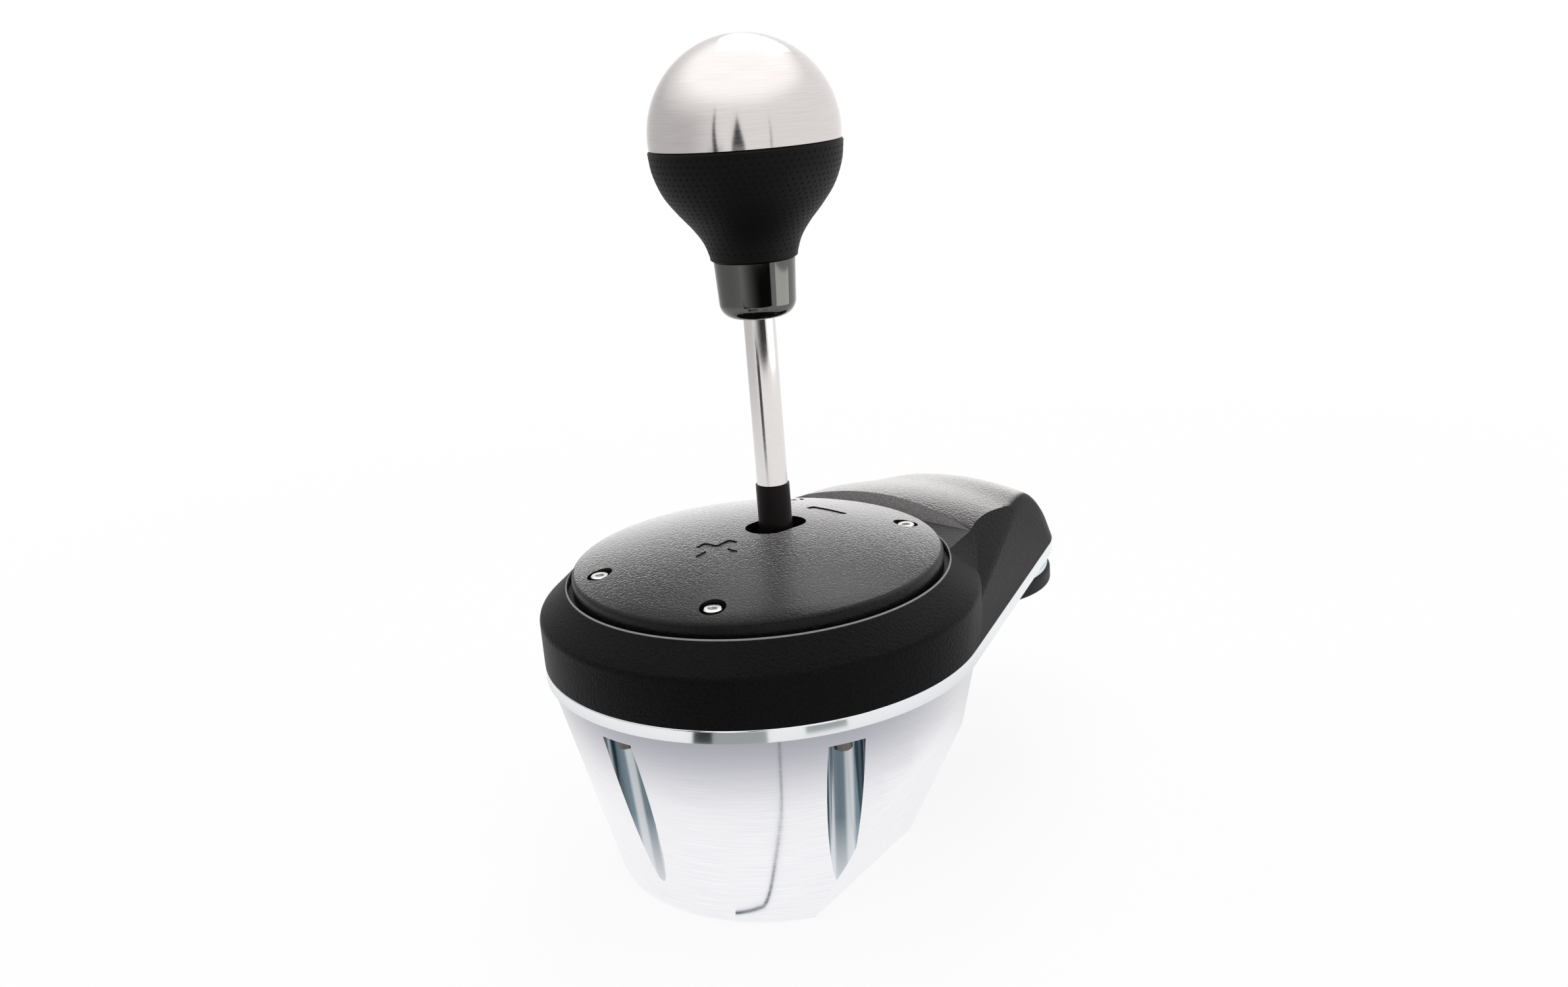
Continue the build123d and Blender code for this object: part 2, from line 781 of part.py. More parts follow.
with BuildPart() as knob_cap:
    with Locations((0, stick_place, dome_centre)):
        Sphere(dome_radius)
        Sphere(dome_radius - knob_skin, mode=Mode.SUBTRACT)
    with BuildSketch(Plane.XY.offset(knob_edge_height)):
        Circle(2 * knob_radius)
    extrude(amount=-overrun, mode=Mode.SUBTRACT)
knob_cap.part.label = "knob_cap"
export_step(knob_cap.part, "parts/knob_cap.step")

with BuildPart() as core_top:
    with Locations((0, 0, dome_centre)):
        Sphere(dome_radius - knob_skin - close_gap)
    with BuildSketch(Plane.XY.offset(knob_edge_height)):
        Circle(2 * knob_radius)
    extrude(amount=-overrun, mode=Mode.SUBTRACT)

with BuildPart() as knob_core:
    with BuildSketch(Plane.XZ):
        with BuildLine():
            inside = grip_points(knob_skin + close_gap)
            Spline(*inside)
            Polyline(inside[-1], (0, grip_bottom), (0, knob_edge_height), inside[0])
        make_face()
    revolve(axis=Axis.Z)
    add(core_top.part)
    with BuildSketch(Plane.XY.offset(grip_bottom)):
        Circle(shaft_radius + close_gap)
    extrude(amount=shaft_top + close_gap - grip_bottom, mode=Mode.SUBTRACT)
knob_core_piece = knob_core.part.moved(stick_shift)
knob_core_piece.label = "knob_core"
export_step(knob_core_piece, "parts/knob_core.step")

with BuildPart() as knob_collar:
    with BuildSketch(Plane.XZ):
        with BuildLine():
            bore = shaft_radius + close_gap
            Line((bore, collar_bottom), (collar_foot_radius - collar_round, collar_bottom))
            CenterArc(
                (collar_foot_radius - collar_round, collar_bottom + collar_round),
                collar_round,
                -90,
                90,
            )
            Polyline(
                (collar_foot_radius, collar_bottom + collar_round),
                (collar_radius, grip_bottom),
                (bore, grip_bottom),
                (bore, collar_bottom),
            )
        make_face()
    revolve(axis=Axis.Z)
knob_collar_piece = knob_collar.part.moved(stick_shift)
knob_collar_piece.label = "knob_collar"
export_step(knob_collar_piece, "parts/knob_collar.step")

with BuildPart() as stick_shaft:
    with BuildSketch(Plane.XY.offset(shaft_bottom)):
        with Locations((0, stick_place)):
            Circle(shaft_lower_radius)
    extrude(amount=sleeve_top - shaft_bottom)
    with BuildSketch(Plane.XY.offset(sleeve_top)):
        with Locations((0, stick_place)):
            Circle(shaft_radius)
    extrude(amount=shaft_top - sleeve_top)
stick_shaft.part.label = "stick_shaft"
export_step(stick_shaft.part, "parts/stick_shaft.step")

with BuildPart() as stick_sleeve:
    with BuildSketch(Plane.XY.offset(hub_neck_top)):
        with Locations((0, stick_place)):
            Circle(sleeve_radius)
            Circle(shaft_lower_radius + close_gap, mode=Mode.SUBTRACT)
    extrude(amount=sleeve_top - hub_neck_top)
stick_sleeve.part.label = "stick_sleeve"
export_step(stick_sleeve.part, "parts/stick_sleeve.step")

# Hub, pin and lower lever
with BuildPart() as pivot_hub:
    with BuildSketch(Plane.YZ.offset(-hub_half_width)):
        with Locations((stick_place, pivot_height)):
            Circle(hub_radius)
    extrude(amount=2 * hub_half_width)
    with BuildSketch(Plane.XY.offset(pivot_height)):
        with Locations((0, stick_place)):
            Circle(hub_neck_radius)
    extrude(amount=hub_neck_top - pivot_height)
    with BuildSketch(Plane.XY.offset(hub_foot_bottom)):
        with Locations((0, stick_place)):
            Circle(hub_foot_radius)
    extrude(amount=pivot_height - hub_foot_bottom)
    with BuildSketch(Plane.YZ.offset(-hub_half_width)):
        with Locations((stick_place, pivot_height)):
            Circle(pin_radius + close_gap)
    extrude(amount=2 * hub_half_width, mode=Mode.SUBTRACT)
    with BuildSketch(Plane.XY.offset(hub_neck_top)):
        with Locations((0, stick_place)):
            Circle(shaft_lower_radius + close_gap)
    extrude(amount=-shaft_depth - close_gap, mode=Mode.SUBTRACT)
    with BuildSketch(Plane.XY.offset(hub_foot_bottom)):
        with Locations((0, stick_place)):
            Circle(tail_rod_radius + close_gap)
    extrude(amount=tail_rod_top + close_gap - hub_foot_bottom, mode=Mode.SUBTRACT)
    with BuildSketch(Plane.XZ.offset(hub_neck_radius - stick_place)):
        with Locations((0, set_screw_height)):
            Circle(set_screw_radius + close_gap)
    extrude(amount=-hub_neck_radius, mode=Mode.SUBTRACT)
pivot_hub.part.label = "pivot_hub"
export_step(pivot_hub.part, "parts/pivot_hub.step")

with BuildPart() as hub_set_screw:
    with BuildSketch(Plane.XZ.offset(hub_neck_radius - stick_place - set_screw_sink)):
        with Locations((0, set_screw_height)):
            Circle(set_screw_radius)
    extrude(amount=-set_screw_length)
    with BuildSketch(Plane.XZ.offset(hub_neck_radius - stick_place - set_screw_sink)):
        with Locations((0, set_screw_height)):
            RegularPolygon(set_screw_radius * recess_share, 6)
    extrude(amount=-set_screw_length * recess_share, mode=Mode.SUBTRACT)
hub_set_screw.part.label = "hub_set_screw"
export_step(hub_set_screw.part, "parts/hub_set_screw.step")

with BuildPart() as pivot_pin:
    with BuildSketch(Plane.YZ.offset(-pin_half_length)):
        with Locations((stick_place, pivot_height)):
            Circle(pin_radius)
    extrude(amount=2 * pin_half_length)
    for side in (1, -1):
        with BuildSketch(Plane.YZ.offset(side * clip_place)):
            with Locations((stick_place, pivot_height)):
                Circle(2 * pin_radius)
                Circle(pin_radius - clip_groove_depth, mode=Mode.SUBTRACT)
        extrude(amount=side * clip_thickness, mode=Mode.SUBTRACT)
pivot_pin.part.label = "pivot_pin"
export_step(pivot_pin.part, "parts/pivot_pin.step")

with BuildPart() as pin_clips:
    for side in (1, -1):
        with BuildSketch(Plane.YZ.offset(side * (clip_place + close_gap))):
            with Locations((stick_place, pivot_height)):
                Circle(clip_radius)
                Circle(pin_radius - clip_groove_depth + close_gap, mode=Mode.SUBTRACT)
                Rectangle(
                    clip_mouth,
                    2 * clip_radius,
                    align=(Align.CENTER, Align.MAX),
                    mode=Mode.SUBTRACT,
                )
        extrude(amount=side * (clip_thickness - 2 * close_gap))
pin_clips.part.label = "pin_clips"
export_step(pin_clips.part, "parts/pin_clips.step")

with BuildPart() as lever_tail:
    with BuildSketch(Plane.XY.offset(ball_height)):
        with Locations((0, stick_place)):
            Circle(tail_rod_radius)
    extrude(amount=tail_rod_top - ball_height)
    with Locations((0, stick_place, ball_height)):
        Sphere(ball_radius)
lever_tail.part.label = "lever_tail"
export_step(lever_tail.part, "parts/lever_tail.step")

with BuildPart() as slot_shield:
    with BuildSketch(Plane.YZ.offset(-shield_half_width)):
        with Locations((stick_place, pivot_height)):
            Circle(shield_radius)
            Circle(shield_radius - shield_thickness, mode=Mode.SUBTRACT)
            Rectangle(
                2 * shield_half_length,
                2 * shield_radius,
                align=(Align.CENTER, Align.MIN),
                mode=Mode.INTERSECT,
            )
    extrude(amount=2 * shield_half_width)
    with BuildSketch(Plane.XY.offset(shield_boss_bottom)):
        with Locations((0, stick_place)):
            Circle(shield_boss_radius)
    extrude(amount=shield_boss_top - shield_boss_bottom)
    with BuildSketch(Plane.XY.offset(shield_boss_bottom)):
        with Locations((0, stick_place)):
            Circle(sleeve_radius + close_gap)
    extrude(amount=overrun, mode=Mode.SUBTRACT)
slot_shield.part.label = "slot_shield"
export_step(slot_shield.part, "parts/slot_shield.step")

# Chassis plate, cheeks and bushes
with BuildPart() as chassis_plate:
    with BuildSketch(Plane.XY.offset(boss_top)) as sheet:
        with Locations((0, chassis_front)):
            Rectangle(
                2 * chassis_half_width,
                chassis_back - chassis_front,
                align=(Align.CENTER, Align.MIN),
            )
        fillet(sheet.vertices(), radius=chassis_corner)
        with Locations((0, window_front)):
            Rectangle(
                2 * window_half_width,
                window_back - window_front,
                align=(Align.CENTER, Align.MIN),
                mode=Mode.SUBTRACT,
            )
        with Locations(*base_spots):
            Circle(m4_screw[2] + screw_gap, mode=Mode.SUBTRACT)
        with Locations(*cheek_screw_spots):
            Circle(m3_screw[2] + screw_gap, mode=Mode.SUBTRACT)
        with Locations(*bracket_screw_spots):
            Circle(m3_screw[2] + close_gap, mode=Mode.SUBTRACT)
    extrude(amount=chassis_thickness)
chassis_plate.part.label = "chassis_plate"
export_step(chassis_plate.part, "parts/chassis_plate.step")

chassis_screws = screws(Plane.XY.offset(chassis_top), base_spots, m4_screw, chassis_screw_length)
chassis_screws.label = "chassis_screws"
export_step(chassis_screws, "parts/chassis_screws.step")


def cheek(side):
    """One upright side of the pivot's frame."""
    with BuildPart() as upright:
        with BuildSketch(Plane.YZ.offset(side * cheek_inner)):
            with Locations(((cheek_front + cheek_back) / 2, chassis_top)):
                Rectangle(
                    cheek_back - cheek_front,
                    cheek_base_height,
                    align=(Align.CENTER, Align.MIN),
                )
            with Locations((stick_place, pivot_height)):
                Circle(cheek_head_radius)
            make_hull()
            with Locations((stick_place, pivot_height)):
                Circle(bush_radius + close_gap, mode=Mode.SUBTRACT)
            with Locations((cheek_hole_y, cheek_hole_z)):
                Circle(cheek_hole_radius, mode=Mode.SUBTRACT)
        extrude(amount=side * cheek_thickness)
        with BuildSketch(Plane.YZ.offset(side * cheek_inner)):
            with Locations((rail_front - close_gap, rail_bottom - close_gap)):
                Rectangle(
                    rail_back - rail_front + 2 * close_gap,
                    rail_height + 2 * close_gap,
                    align=(Align.MIN, Align.MIN),
                )
        extrude(amount=side * (rail_let_in + close_gap), mode=Mode.SUBTRACT)
        with BuildSketch(Plane.XY.offset(chassis_top)):
            with Locations(*[spot for spot in cheek_screw_spots if spot[0] * side > 0]):
                Circle(m3_screw[2] + close_gap)
        extrude(
            amount=cheek_screw_length - chassis_thickness + thread_end_gap,
            mode=Mode.SUBTRACT,
        )
    return upright.part


cheek_right = cheek(1)
cheek_right.label = "cheek_right"
export_step(cheek_right, "parts/cheek_right.step")

cheek_left = cheek(-1)
cheek_left.label = "cheek_left"
export_step(cheek_left, "parts/cheek_left.step")

cheek_screws = screws(facing_down(boss_top), flipped(cheek_screw_spots), m3_screw, cheek_screw_length)
cheek_screws.label = "cheek_screws"
export_step(cheek_screws, "parts/cheek_screws.step")

with BuildPart() as pivot_bushes:
    for side in (1, -1):
        with BuildSketch(Plane.YZ.offset(side * cheek_inner)):
            with Locations((stick_place, pivot_height)):
                Circle(bush_radius)
        extrude(amount=side * cheek_thickness)
        with BuildSketch(Plane.YZ.offset(side * cheek_outer)):
            with Locations((stick_place, pivot_height)):
                Circle(bush_flange_radius)
        extrude(amount=side * bush_flange)
    with BuildSketch(Plane.YZ.offset(-pin_half_length)):
        with Locations((stick_place, pivot_height)):
            Circle(pin_radius + running_gap)
    extrude(amount=2 * pin_half_length, mode=Mode.SUBTRACT)
pivot_bushes.part.label = "pivot_bushes"
export_step(pivot_bushes.part, "parts/pivot_bushes.step")

with BuildPart() as guide_rails:
    for side in (1, -1):
        with BuildSketch(Plane.YZ.offset(side * rail_tip)):
            with Locations((rail_front, rail_bottom)):
                Rectangle(rail_back - rail_front, rail_height, align=(Align.MIN, Align.MIN))
        extrude(amount=side * (cheek_inner + rail_let_in - rail_tip))
guide_rails.part.label = "guide_rails"
export_step(guide_rails.part, "parts/guide_rails.step")

# Shuttle, its rod and its springs
with BuildPart() as shuttle_block:
    with BuildSketch(Plane.XY.offset(block_bottom)):
        with Locations((0, stick_place)):
            Rectangle(2 * block_half_width, 2 * block_half_length)
    extrude(amount=block_top - block_bottom)
    with BuildSketch(Plane.XY.offset(fork_bottom)):
        with Locations((0, stick_place)):
            Rectangle(2 * fork_half_width, 2 * (ball_radius + running_gap))
    extrude(amount=overrun, mode=Mode.SUBTRACT)
    for side in (1, -1):
        with BuildSketch(Plane.YZ.offset(side * groove_bottom_x)):
            with Locations((stick_place, rail_bottom - moving_gap)):
                Rectangle(
                    2 * overrun,
                    rail_height + 2 * moving_gap,
                    align=(Align.CENTER, Align.MIN),
                )
        extrude(amount=side * overrun, mode=Mode.SUBTRACT)
    with BuildSketch(Plane.XZ.offset(-block_front)):
        with Locations((0, ball_height)):
            Circle(rod_radius + close_gap)
    extrude(amount=block_front - stick_place, mode=Mode.SUBTRACT)
    with BuildSketch(Plane.XY.offset(block_bottom)):
        with Locations((0, stick_place)):
            Circle(holder_spigot_radius + close_gap)
    extrude(amount=holder_spigot_length + close_gap, mode=Mode.SUBTRACT)
shuttle_block.part.label = "shuttle_block"
export_step(shuttle_block.part, "parts/shuttle_block.step")

with BuildPart() as shuttle_rod:
    with BuildSketch(Plane.XZ.offset(-rod_back)):
        with Locations((0, ball_height)):
            Circle(rod_radius)
    extrude(amount=rod_back - rod_front)
shuttle_rod.part.label = "shuttle_rod"
export_step(shuttle_rod.part, "parts/shuttle_rod.step")

with BuildPart() as rod_washer:
    with BuildSketch(Plane.XZ.offset(-rod_washer_back)):
        with Locations((0, ball_height)):
            Circle(rod_washer_radius)
            Circle(rod_radius + close_gap, mode=Mode.SUBTRACT)
    extrude(amount=rod_washer_thickness)
rod_washer.part.label = "rod_washer"
export_step(rod_washer.part, "parts/rod_washer.step")

with BuildPart() as rod_nut:
    with BuildSketch(Plane.XZ.offset(rod_washer_thickness - rod_washer_back)):
        with Locations((0, ball_height)):
            RegularPolygon(rod_nut_radius, 6)
            Circle(rod_radius + close_gap, mode=Mode.SUBTRACT)
    extrude(amount=rod_nut_thickness)
rod_nut.part.label = "rod_nut"
export_step(rod_nut.part, "parts/rod_nut.step")

with BuildPart() as spring_bracket:
    with BuildSketch(Plane.XZ.offset(-bracket_back)) as upright:
        with Locations((0, chassis_top)):
            Rectangle(
                2 * bracket_half_width,
                bracket_top - chassis_top,
                align=(Align.CENTER, Align.MIN),
            )
        fillet(upright.vertices().group_by(Axis.Y)[-1], radius=bracket_corner)
        with Locations((0, ball_height)):
            Circle(rod_bush_radius + close_gap, mode=Mode.SUBTRACT)
    extrude(amount=bracket_thickness)
    with BuildSketch(Plane.XY.offset(chassis_top)):
        with Locations((0, bracket_front)):
            Rectangle(2 * bracket_half_width, bracket_foot, align=(Align.CENTER, Align.MAX))
        with Locations(*bracket_screw_spots):
            Circle(m3_screw[2] + screw_gap, mode=Mode.SUBTRACT)
    extrude(amount=bracket_foot_thickness)
spring_bracket.part.label = "spring_bracket"
export_step(spring_bracket.part, "parts/spring_bracket.step")

bracket_screws = screws(
    Plane.XY.offset(chassis_top + bracket_foot_thickness),
    bracket_screw_spots,
    m3_screw,
    bracket_screw_length,
)
bracket_screws.label = "bracket_screws"
export_step(bracket_screws, "parts/bracket_screws.step")

with BuildPart() as bracket_bush:
    with BuildSketch(Plane.XZ.offset(-bracket_back)):
        with Locations((0, ball_height)):
            Circle(rod_bush_radius)
            Circle(rod_radius + running_gap, mode=Mode.SUBTRACT)
    extrude(amount=bracket_thickness)
bracket_bush.part.label = "bracket_bush"
export_step(bracket_bush.part, "parts/bracket_bush.step")


def coil(start, end):
    """Round wire spring about the rod, between two seats along Y."""
    first = start + spring_wire_radius + spring_end_gap
    length = end - start - 2 * (spring_wire_radius + spring_end_gap)
    with BuildPart() as spring:
        with BuildLine() as path:
            Helix(
                pitch=length / spring_turns,
                height=length,
                radius=spring_mean_radius,
                center=(0, first, ball_height),
                direction=(0, 1, 0),
            )
        with BuildSketch(Plane(origin=path.line @ 0, z_dir=path.line % 0)):
            Circle(spring_wire_radius)
        sweep(is_frenet=True)
    return spring.part


spring_rear = coil(bracket_back, block_front)
spring_rear.label = "spring_rear"
export_step(spring_rear, "parts/spring_rear.step")

spring_front = coil(rod_washer_back, bracket_front)
spring_front.label = "spring_front"
export_step(spring_front, "parts/spring_front.step")

# Magnet, sensor and board
with BuildPart() as magnet_holder:
    with BuildSketch(Plane.XY.offset(magnet_bottom)):
        with Locations((0, stick_place)):
            Circle(magnet_holder_radius)
    extrude(amount=block_bottom - magnet_bottom)
    with BuildSketch(Plane.XY.offset(block_bottom)):
        with Locations((0, stick_place)):
            Circle(holder_spigot_radius)
    extrude(amount=holder_spigot_length)
    with BuildSketch(Plane.XY.offset(magnet_bottom)):
        with Locations((0, stick_place)):
            Circle(magnet_radius + close_gap)
    extrude(amount=magnet_thickness + close_gap, mode=Mode.SUBTRACT)
magnet_holder.part.label = "magnet_holder"
export_step(magnet_holder.part, "parts/magnet_holder.step")

with BuildPart() as magnet:
    with BuildSketch(Plane.XY.offset(magnet_bottom)):
        with Locations((0, stick_place)):
            Circle(magnet_radius)
    extrude(amount=magnet_thickness)
magnet.part.label = "magnet"
export_step(magnet.part, "parts/magnet.step")

with BuildPart() as sensor_board:
    with BuildSketch(Plane.XY.offset(board_bottom)):
        with Locations((0, board_front)):
            Rectangle(
                2 * board_half_width,
                board_back - board_front,
                align=(Align.CENTER, Align.MIN),
            )
        with Locations(*standoff_places):
            Circle(m2_screw[2] + screw_gap, mode=Mode.SUBTRACT)
    extrude(amount=board_thickness)
    with Locations((plug_x, flex_place, board_top)):
        Box(
            plug_length,
            flex_width + plug_height,
            plug_height,
            align=(Align.MAX, Align.CENTER, Align.MIN),
        )
sensor_board.part.label = "sensor_board"
export_step(sensor_board.part, "parts/sensor_board.step")

with BuildPart() as hall_sensor:
    with Locations((0, stick_place, board_top)):
        Box(chip_size, chip_size, chip_thickness, align=(Align.CENTER, Align.CENTER, Align.MIN))
hall_sensor.part.label = "hall_sensor"
export_step(hall_sensor.part, "parts/hall_sensor.step")

with BuildPart() as board_standoffs:
    with BuildSketch(Plane.XY.offset(board_top)):
        with Locations(*standoff_places):
            Circle(standoff_radius)
    extrude(amount=boss_top - board_top)
    with BuildSketch(Plane.XY.offset(board_top)):
        with Locations(*standoff_places):
            Circle(m2_screw[2] + close_gap)
    extrude(
        amount=board_screw_length - board_thickness + thread_end_gap,
        mode=Mode.SUBTRACT,
    )
board_standoffs.part.label = "board_standoffs"
export_step(board_standoffs.part, "parts/board_standoffs.step")

board_screws = screws(
    facing_down(board_bottom), flipped(standoff_places), m2_screw, board_screw_length
)
board_screws.label = "board_screws"
export_step(board_screws, "parts/board_screws.step")

# Ports
with BuildPart() as port_plate:
    with BuildSketch(Plane.YZ.offset(port_face)):
        with Locations((bay_middle_y, bay_middle_z)):
            Rectangle(bay_width - 2 * close_gap, bay_height - 2 * close_gap)
        with Locations((link_place, port_height)):
            Circle(link_radius + link_wall + close_gap, mode=Mode.SUBTRACT)
        with Locations((usb_place, port_height)):
            RectangleRounded(
                2 * (usb_half_width + usb_wall + close_gap),
                2 * (usb_half_height + usb_wall + close_gap),
                usb_corner + usb_wall + close_gap,
                mode=Mode.SUBTRACT,
            )
        with Locations(*port_screw_places):
            Circle(m2_screw[2] + screw_gap, mode=Mode.SUBTRACT)
    extrude(amount=port_plate_thickness)
port_plate.part.label = "port_plate"
export_step(port_plate.part, "parts/port_plate.step")

port_screws = screws(
    Plane(origin=(port_face, 0, 0), x_dir=(0, -1, 0), z_dir=(-1, 0, 0)),
    [(-y, z) for y, z in port_screw_places],
    m2_screw,
    port_screw_length,
)
port_screws.label = "port_screws"
export_step(port_screws, "parts/port_screws.step")

link_pin_spots = [
    (link_place + link_pin_ring * cos(radians(a)), port_height + link_pin_ring * sin(radians(a)))
    for a in link_pin_angles
]
with BuildPart() as link_socket:
    with BuildSketch(Plane.YZ.offset(port_face)):
        with Locations((link_place, port_height)):
            Circle(link_radius + link_wall)
    extrude(amount=port_body_length)
    with BuildSketch(Plane.YZ.offset(port_face)):
        with Locations((link_place, port_height)):
            Circle(link_radius)
    extrude(amount=link_depth, mode=Mode.SUBTRACT)
    with BuildSketch(Plane.YZ.offset(port_face + link_depth)):
        with Locations(*link_pin_spots):
            Circle(link_pin_radius)
    extrude(amount=-link_pin_length)
link_socket.part.label = "link_socket"
export_step(link_socket.part, "parts/link_socket.step")

with BuildPart() as usb_socket:
    with BuildSketch(Plane.YZ.offset(port_face)):
        with Locations((usb_place, port_height)):
            RectangleRounded(
                2 * (usb_half_width + usb_wall),
                2 * (usb_half_height + usb_wall),
                usb_corner + usb_wall,
            )
    extrude(amount=port_body_length)
    with BuildSketch(Plane.YZ.offset(port_face)):
        with Locations((usb_place, port_height)):
            RectangleRounded(2 * usb_half_width, 2 * usb_half_height, usb_corner)
    extrude(amount=usb_depth, mode=Mode.SUBTRACT)
    with BuildSketch(Plane.YZ.offset(port_face + usb_depth)):
        with Locations((usb_place, port_height)):
            Rectangle(2 * usb_tongue_half_width, usb_tongue_thickness)
    extrude(amount=-usb_tongue_length)
usb_socket.part.label = "usb_socket"
export_step(usb_socket.part, "parts/usb_socket.step")

with BuildPart() as port_board:
    with BuildSketch(Plane.YZ.offset(port_board_front)):
        with Locations((bay_middle_y, bay_middle_z)):
            Rectangle(bay_width, bay_height)
    extrude(amount=port_board_thickness)
    with Locations((port_board_back, flex_place, flex_top)):
        Box(
            plug_height,
            flex_width,
            plug_length,
            align=(Align.MIN, Align.CENTER, Align.MIN),
        )
port_board.part.label = "port_board"
export_step(port_board.part, "parts/port_board.step")

cable_x = port_board_back + close_gap + flex_thickness / 2
cable_z = board_top + close_gap + flex_thickness / 2
with BuildPart() as flex_cable:
    with BuildSketch(Plane.XZ.offset(-flex_place - flex_width / 2)):
        with BuildLine():
            FilletPolyline(
                (cable_x, flex_top - close_gap),
                (cable_x, cable_z),
                (flex_end_x, cable_z),
                radius=flex_bend,
            )
        trace(line_width=flex_thickness)
    extrude(amount=flex_width)
flex_cable.part.label = "flex_cable"
export_step(flex_cable.part, "parts/flex_cable.step")

# Friction shoe and its adjusting screw
with BuildPart() as friction_shoe:
    with BuildSketch(Plane.XZ.offset(close_gap - tension_tip)):
        with Locations((0, pivot_height)):
            Circle(shoe_radius)
    extrude(amount=tension_tip - close_gap - stick_place)
    with BuildSketch(Plane.YZ.offset(-hub_half_width)):
        with Locations((stick_place, pivot_height)):
            Circle(hub_radius + running_gap)
    extrude(amount=2 * hub_half_width, mode=Mode.SUBTRACT)
friction_shoe.part.label = "friction_shoe"
export_step(friction_shoe.part, "parts/friction_shoe.step")

tension_seat = rear_wall_place - tension_head_height - moving_gap
tension_plane = Plane.XZ.offset(-tension_seat - close_gap)
with BuildPart() as tension_screw:
    with BuildSketch(tension_plane):
        with Locations((0, pivot_height)):
            Circle(tension_head_radius)
    extrude(amount=-tension_head_height)
    with BuildSketch(tension_plane):
        with Locations((0, pivot_height)):
            Circle(tension_screw_radius)
    extrude(amount=tension_seat + close_gap - tension_tip)
    with BuildSketch(tension_plane.offset(-tension_head_height)):
        with Locations((0, pivot_height)):
            Rectangle(2 * tension_head_radius, tension_slot)
    extrude(amount=tension_slot_depth, mode=Mode.SUBTRACT)
tension_screw.part.label = "tension_screw"
export_step(tension_screw.part, "parts/tension_screw.step")

# Foot and pad under the tail
with BuildPart() as tail_foot:
    with BuildSketch(Plane.XZ):
        with BuildLine():
            ribs = []
            for place, share in enumerate(foot_rib_shares):
                step = foot_step_depth if place in (2, 3) else 0
                ribs.append((foot_radius - step, foot_bottom + foot_height * share))
            Polyline(
                (0, foot_bottom),
                *ribs,
                (foot_spigot_radius, flange_bottom),
                (foot_spigot_radius, foot_spigot_top),
                (0, foot_spigot_top),
                close=True,
            )
        make_face()
    revolve(axis=Axis.Z)
    with BuildSketch(Plane.XY.offset(foot_bottom)):
        Circle(clamp_thread_radius)
    extrude(amount=clamp_thread_depth, mode=Mode.SUBTRACT)
    with BuildSketch(Plane.XY.offset(flange_bottom)):
        with Locations(*ring_spots(foot_screw_ring, foot_screw_angles)):
            Circle(m3_screw[2] + close_gap)
    extrude(
        amount=flange_thickness - foot_screw_length - thread_end_gap,
        mode=Mode.SUBTRACT,
    )
tail_foot_piece = tail_foot.part.moved(Location((0, tail_reach, 0)))
tail_foot_piece.label = "tail_foot"
export_step(tail_foot_piece, "parts/tail_foot.step")

with BuildPart() as foot_pad:
    with BuildSketch(Plane.XY.offset(pad_bottom)):
        with Locations((0, tail_reach)):
            Circle(pad_radius)
            Circle(pad_hole_radius, mode=Mode.SUBTRACT)
    extrude(amount=pad_thickness)
    fillet(
        foot_pad.edges().filter_by(GeomType.CIRCLE).group_by(SortBy.RADIUS)[-1],
        radius=pad_round,
    )
foot_pad.part.label = "foot_pad"
export_step(foot_pad.part, "parts/foot_pad.step")

foot_screws = screws(Plane.XY.offset(flange_top), foot_screw_spots, m3_screw, foot_screw_length)
foot_screws.label = "foot_screws"
export_step(foot_screws, "parts/foot_screws.step")
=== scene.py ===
import bpy
import bmesh
import json
from math import asin, atan2, cos, degrees, pi, radians, sin, sqrt
from mathutils import Matrix, Vector


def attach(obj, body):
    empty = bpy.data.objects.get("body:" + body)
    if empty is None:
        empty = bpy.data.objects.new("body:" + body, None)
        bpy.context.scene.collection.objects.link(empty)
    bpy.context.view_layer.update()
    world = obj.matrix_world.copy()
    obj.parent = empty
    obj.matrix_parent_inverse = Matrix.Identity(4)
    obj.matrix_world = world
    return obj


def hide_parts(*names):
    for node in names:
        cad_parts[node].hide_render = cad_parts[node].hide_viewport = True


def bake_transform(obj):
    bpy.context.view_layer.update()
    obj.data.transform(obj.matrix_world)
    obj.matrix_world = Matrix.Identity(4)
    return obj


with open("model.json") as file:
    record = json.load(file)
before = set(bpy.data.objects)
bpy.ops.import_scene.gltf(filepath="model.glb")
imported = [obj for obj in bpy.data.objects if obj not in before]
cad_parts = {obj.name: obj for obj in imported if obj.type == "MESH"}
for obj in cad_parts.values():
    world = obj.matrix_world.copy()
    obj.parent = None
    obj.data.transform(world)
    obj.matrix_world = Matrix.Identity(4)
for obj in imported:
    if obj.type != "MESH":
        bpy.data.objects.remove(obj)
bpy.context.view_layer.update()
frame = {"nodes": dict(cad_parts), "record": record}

scene = bpy.context.scene
mm = 0.001
stick_axis = (0.0, 8.0)        # where the stick stands, in mm
foot_axis = (0.0, 92.0)        # where the tail's foot stands, in mm


# Ways to make a mesh

def plain_object(name, mesh):
    """An object at the origin that holds a mesh."""
    piece = bpy.data.objects.new(name, mesh)
    scene.collection.objects.link(piece)
    return piece


def mesh_of(work, name):
    """The mesh of a finished bmesh, which is freed."""
    mesh = bpy.data.meshes.new(name)
    work.to_mesh(mesh)
    work.free()
    return mesh


def soften(mesh, crease=32.0):
    """Smooth shading with a sharp edge wherever two faces meet at more than crease degrees."""
    mesh.polygons.foreach_set("use_smooth", [True] * len(mesh.polygons))
    mesh.set_sharp_from_angle(angle=radians(crease))
    mesh.update()


wrap_radius = 50.0 * mm


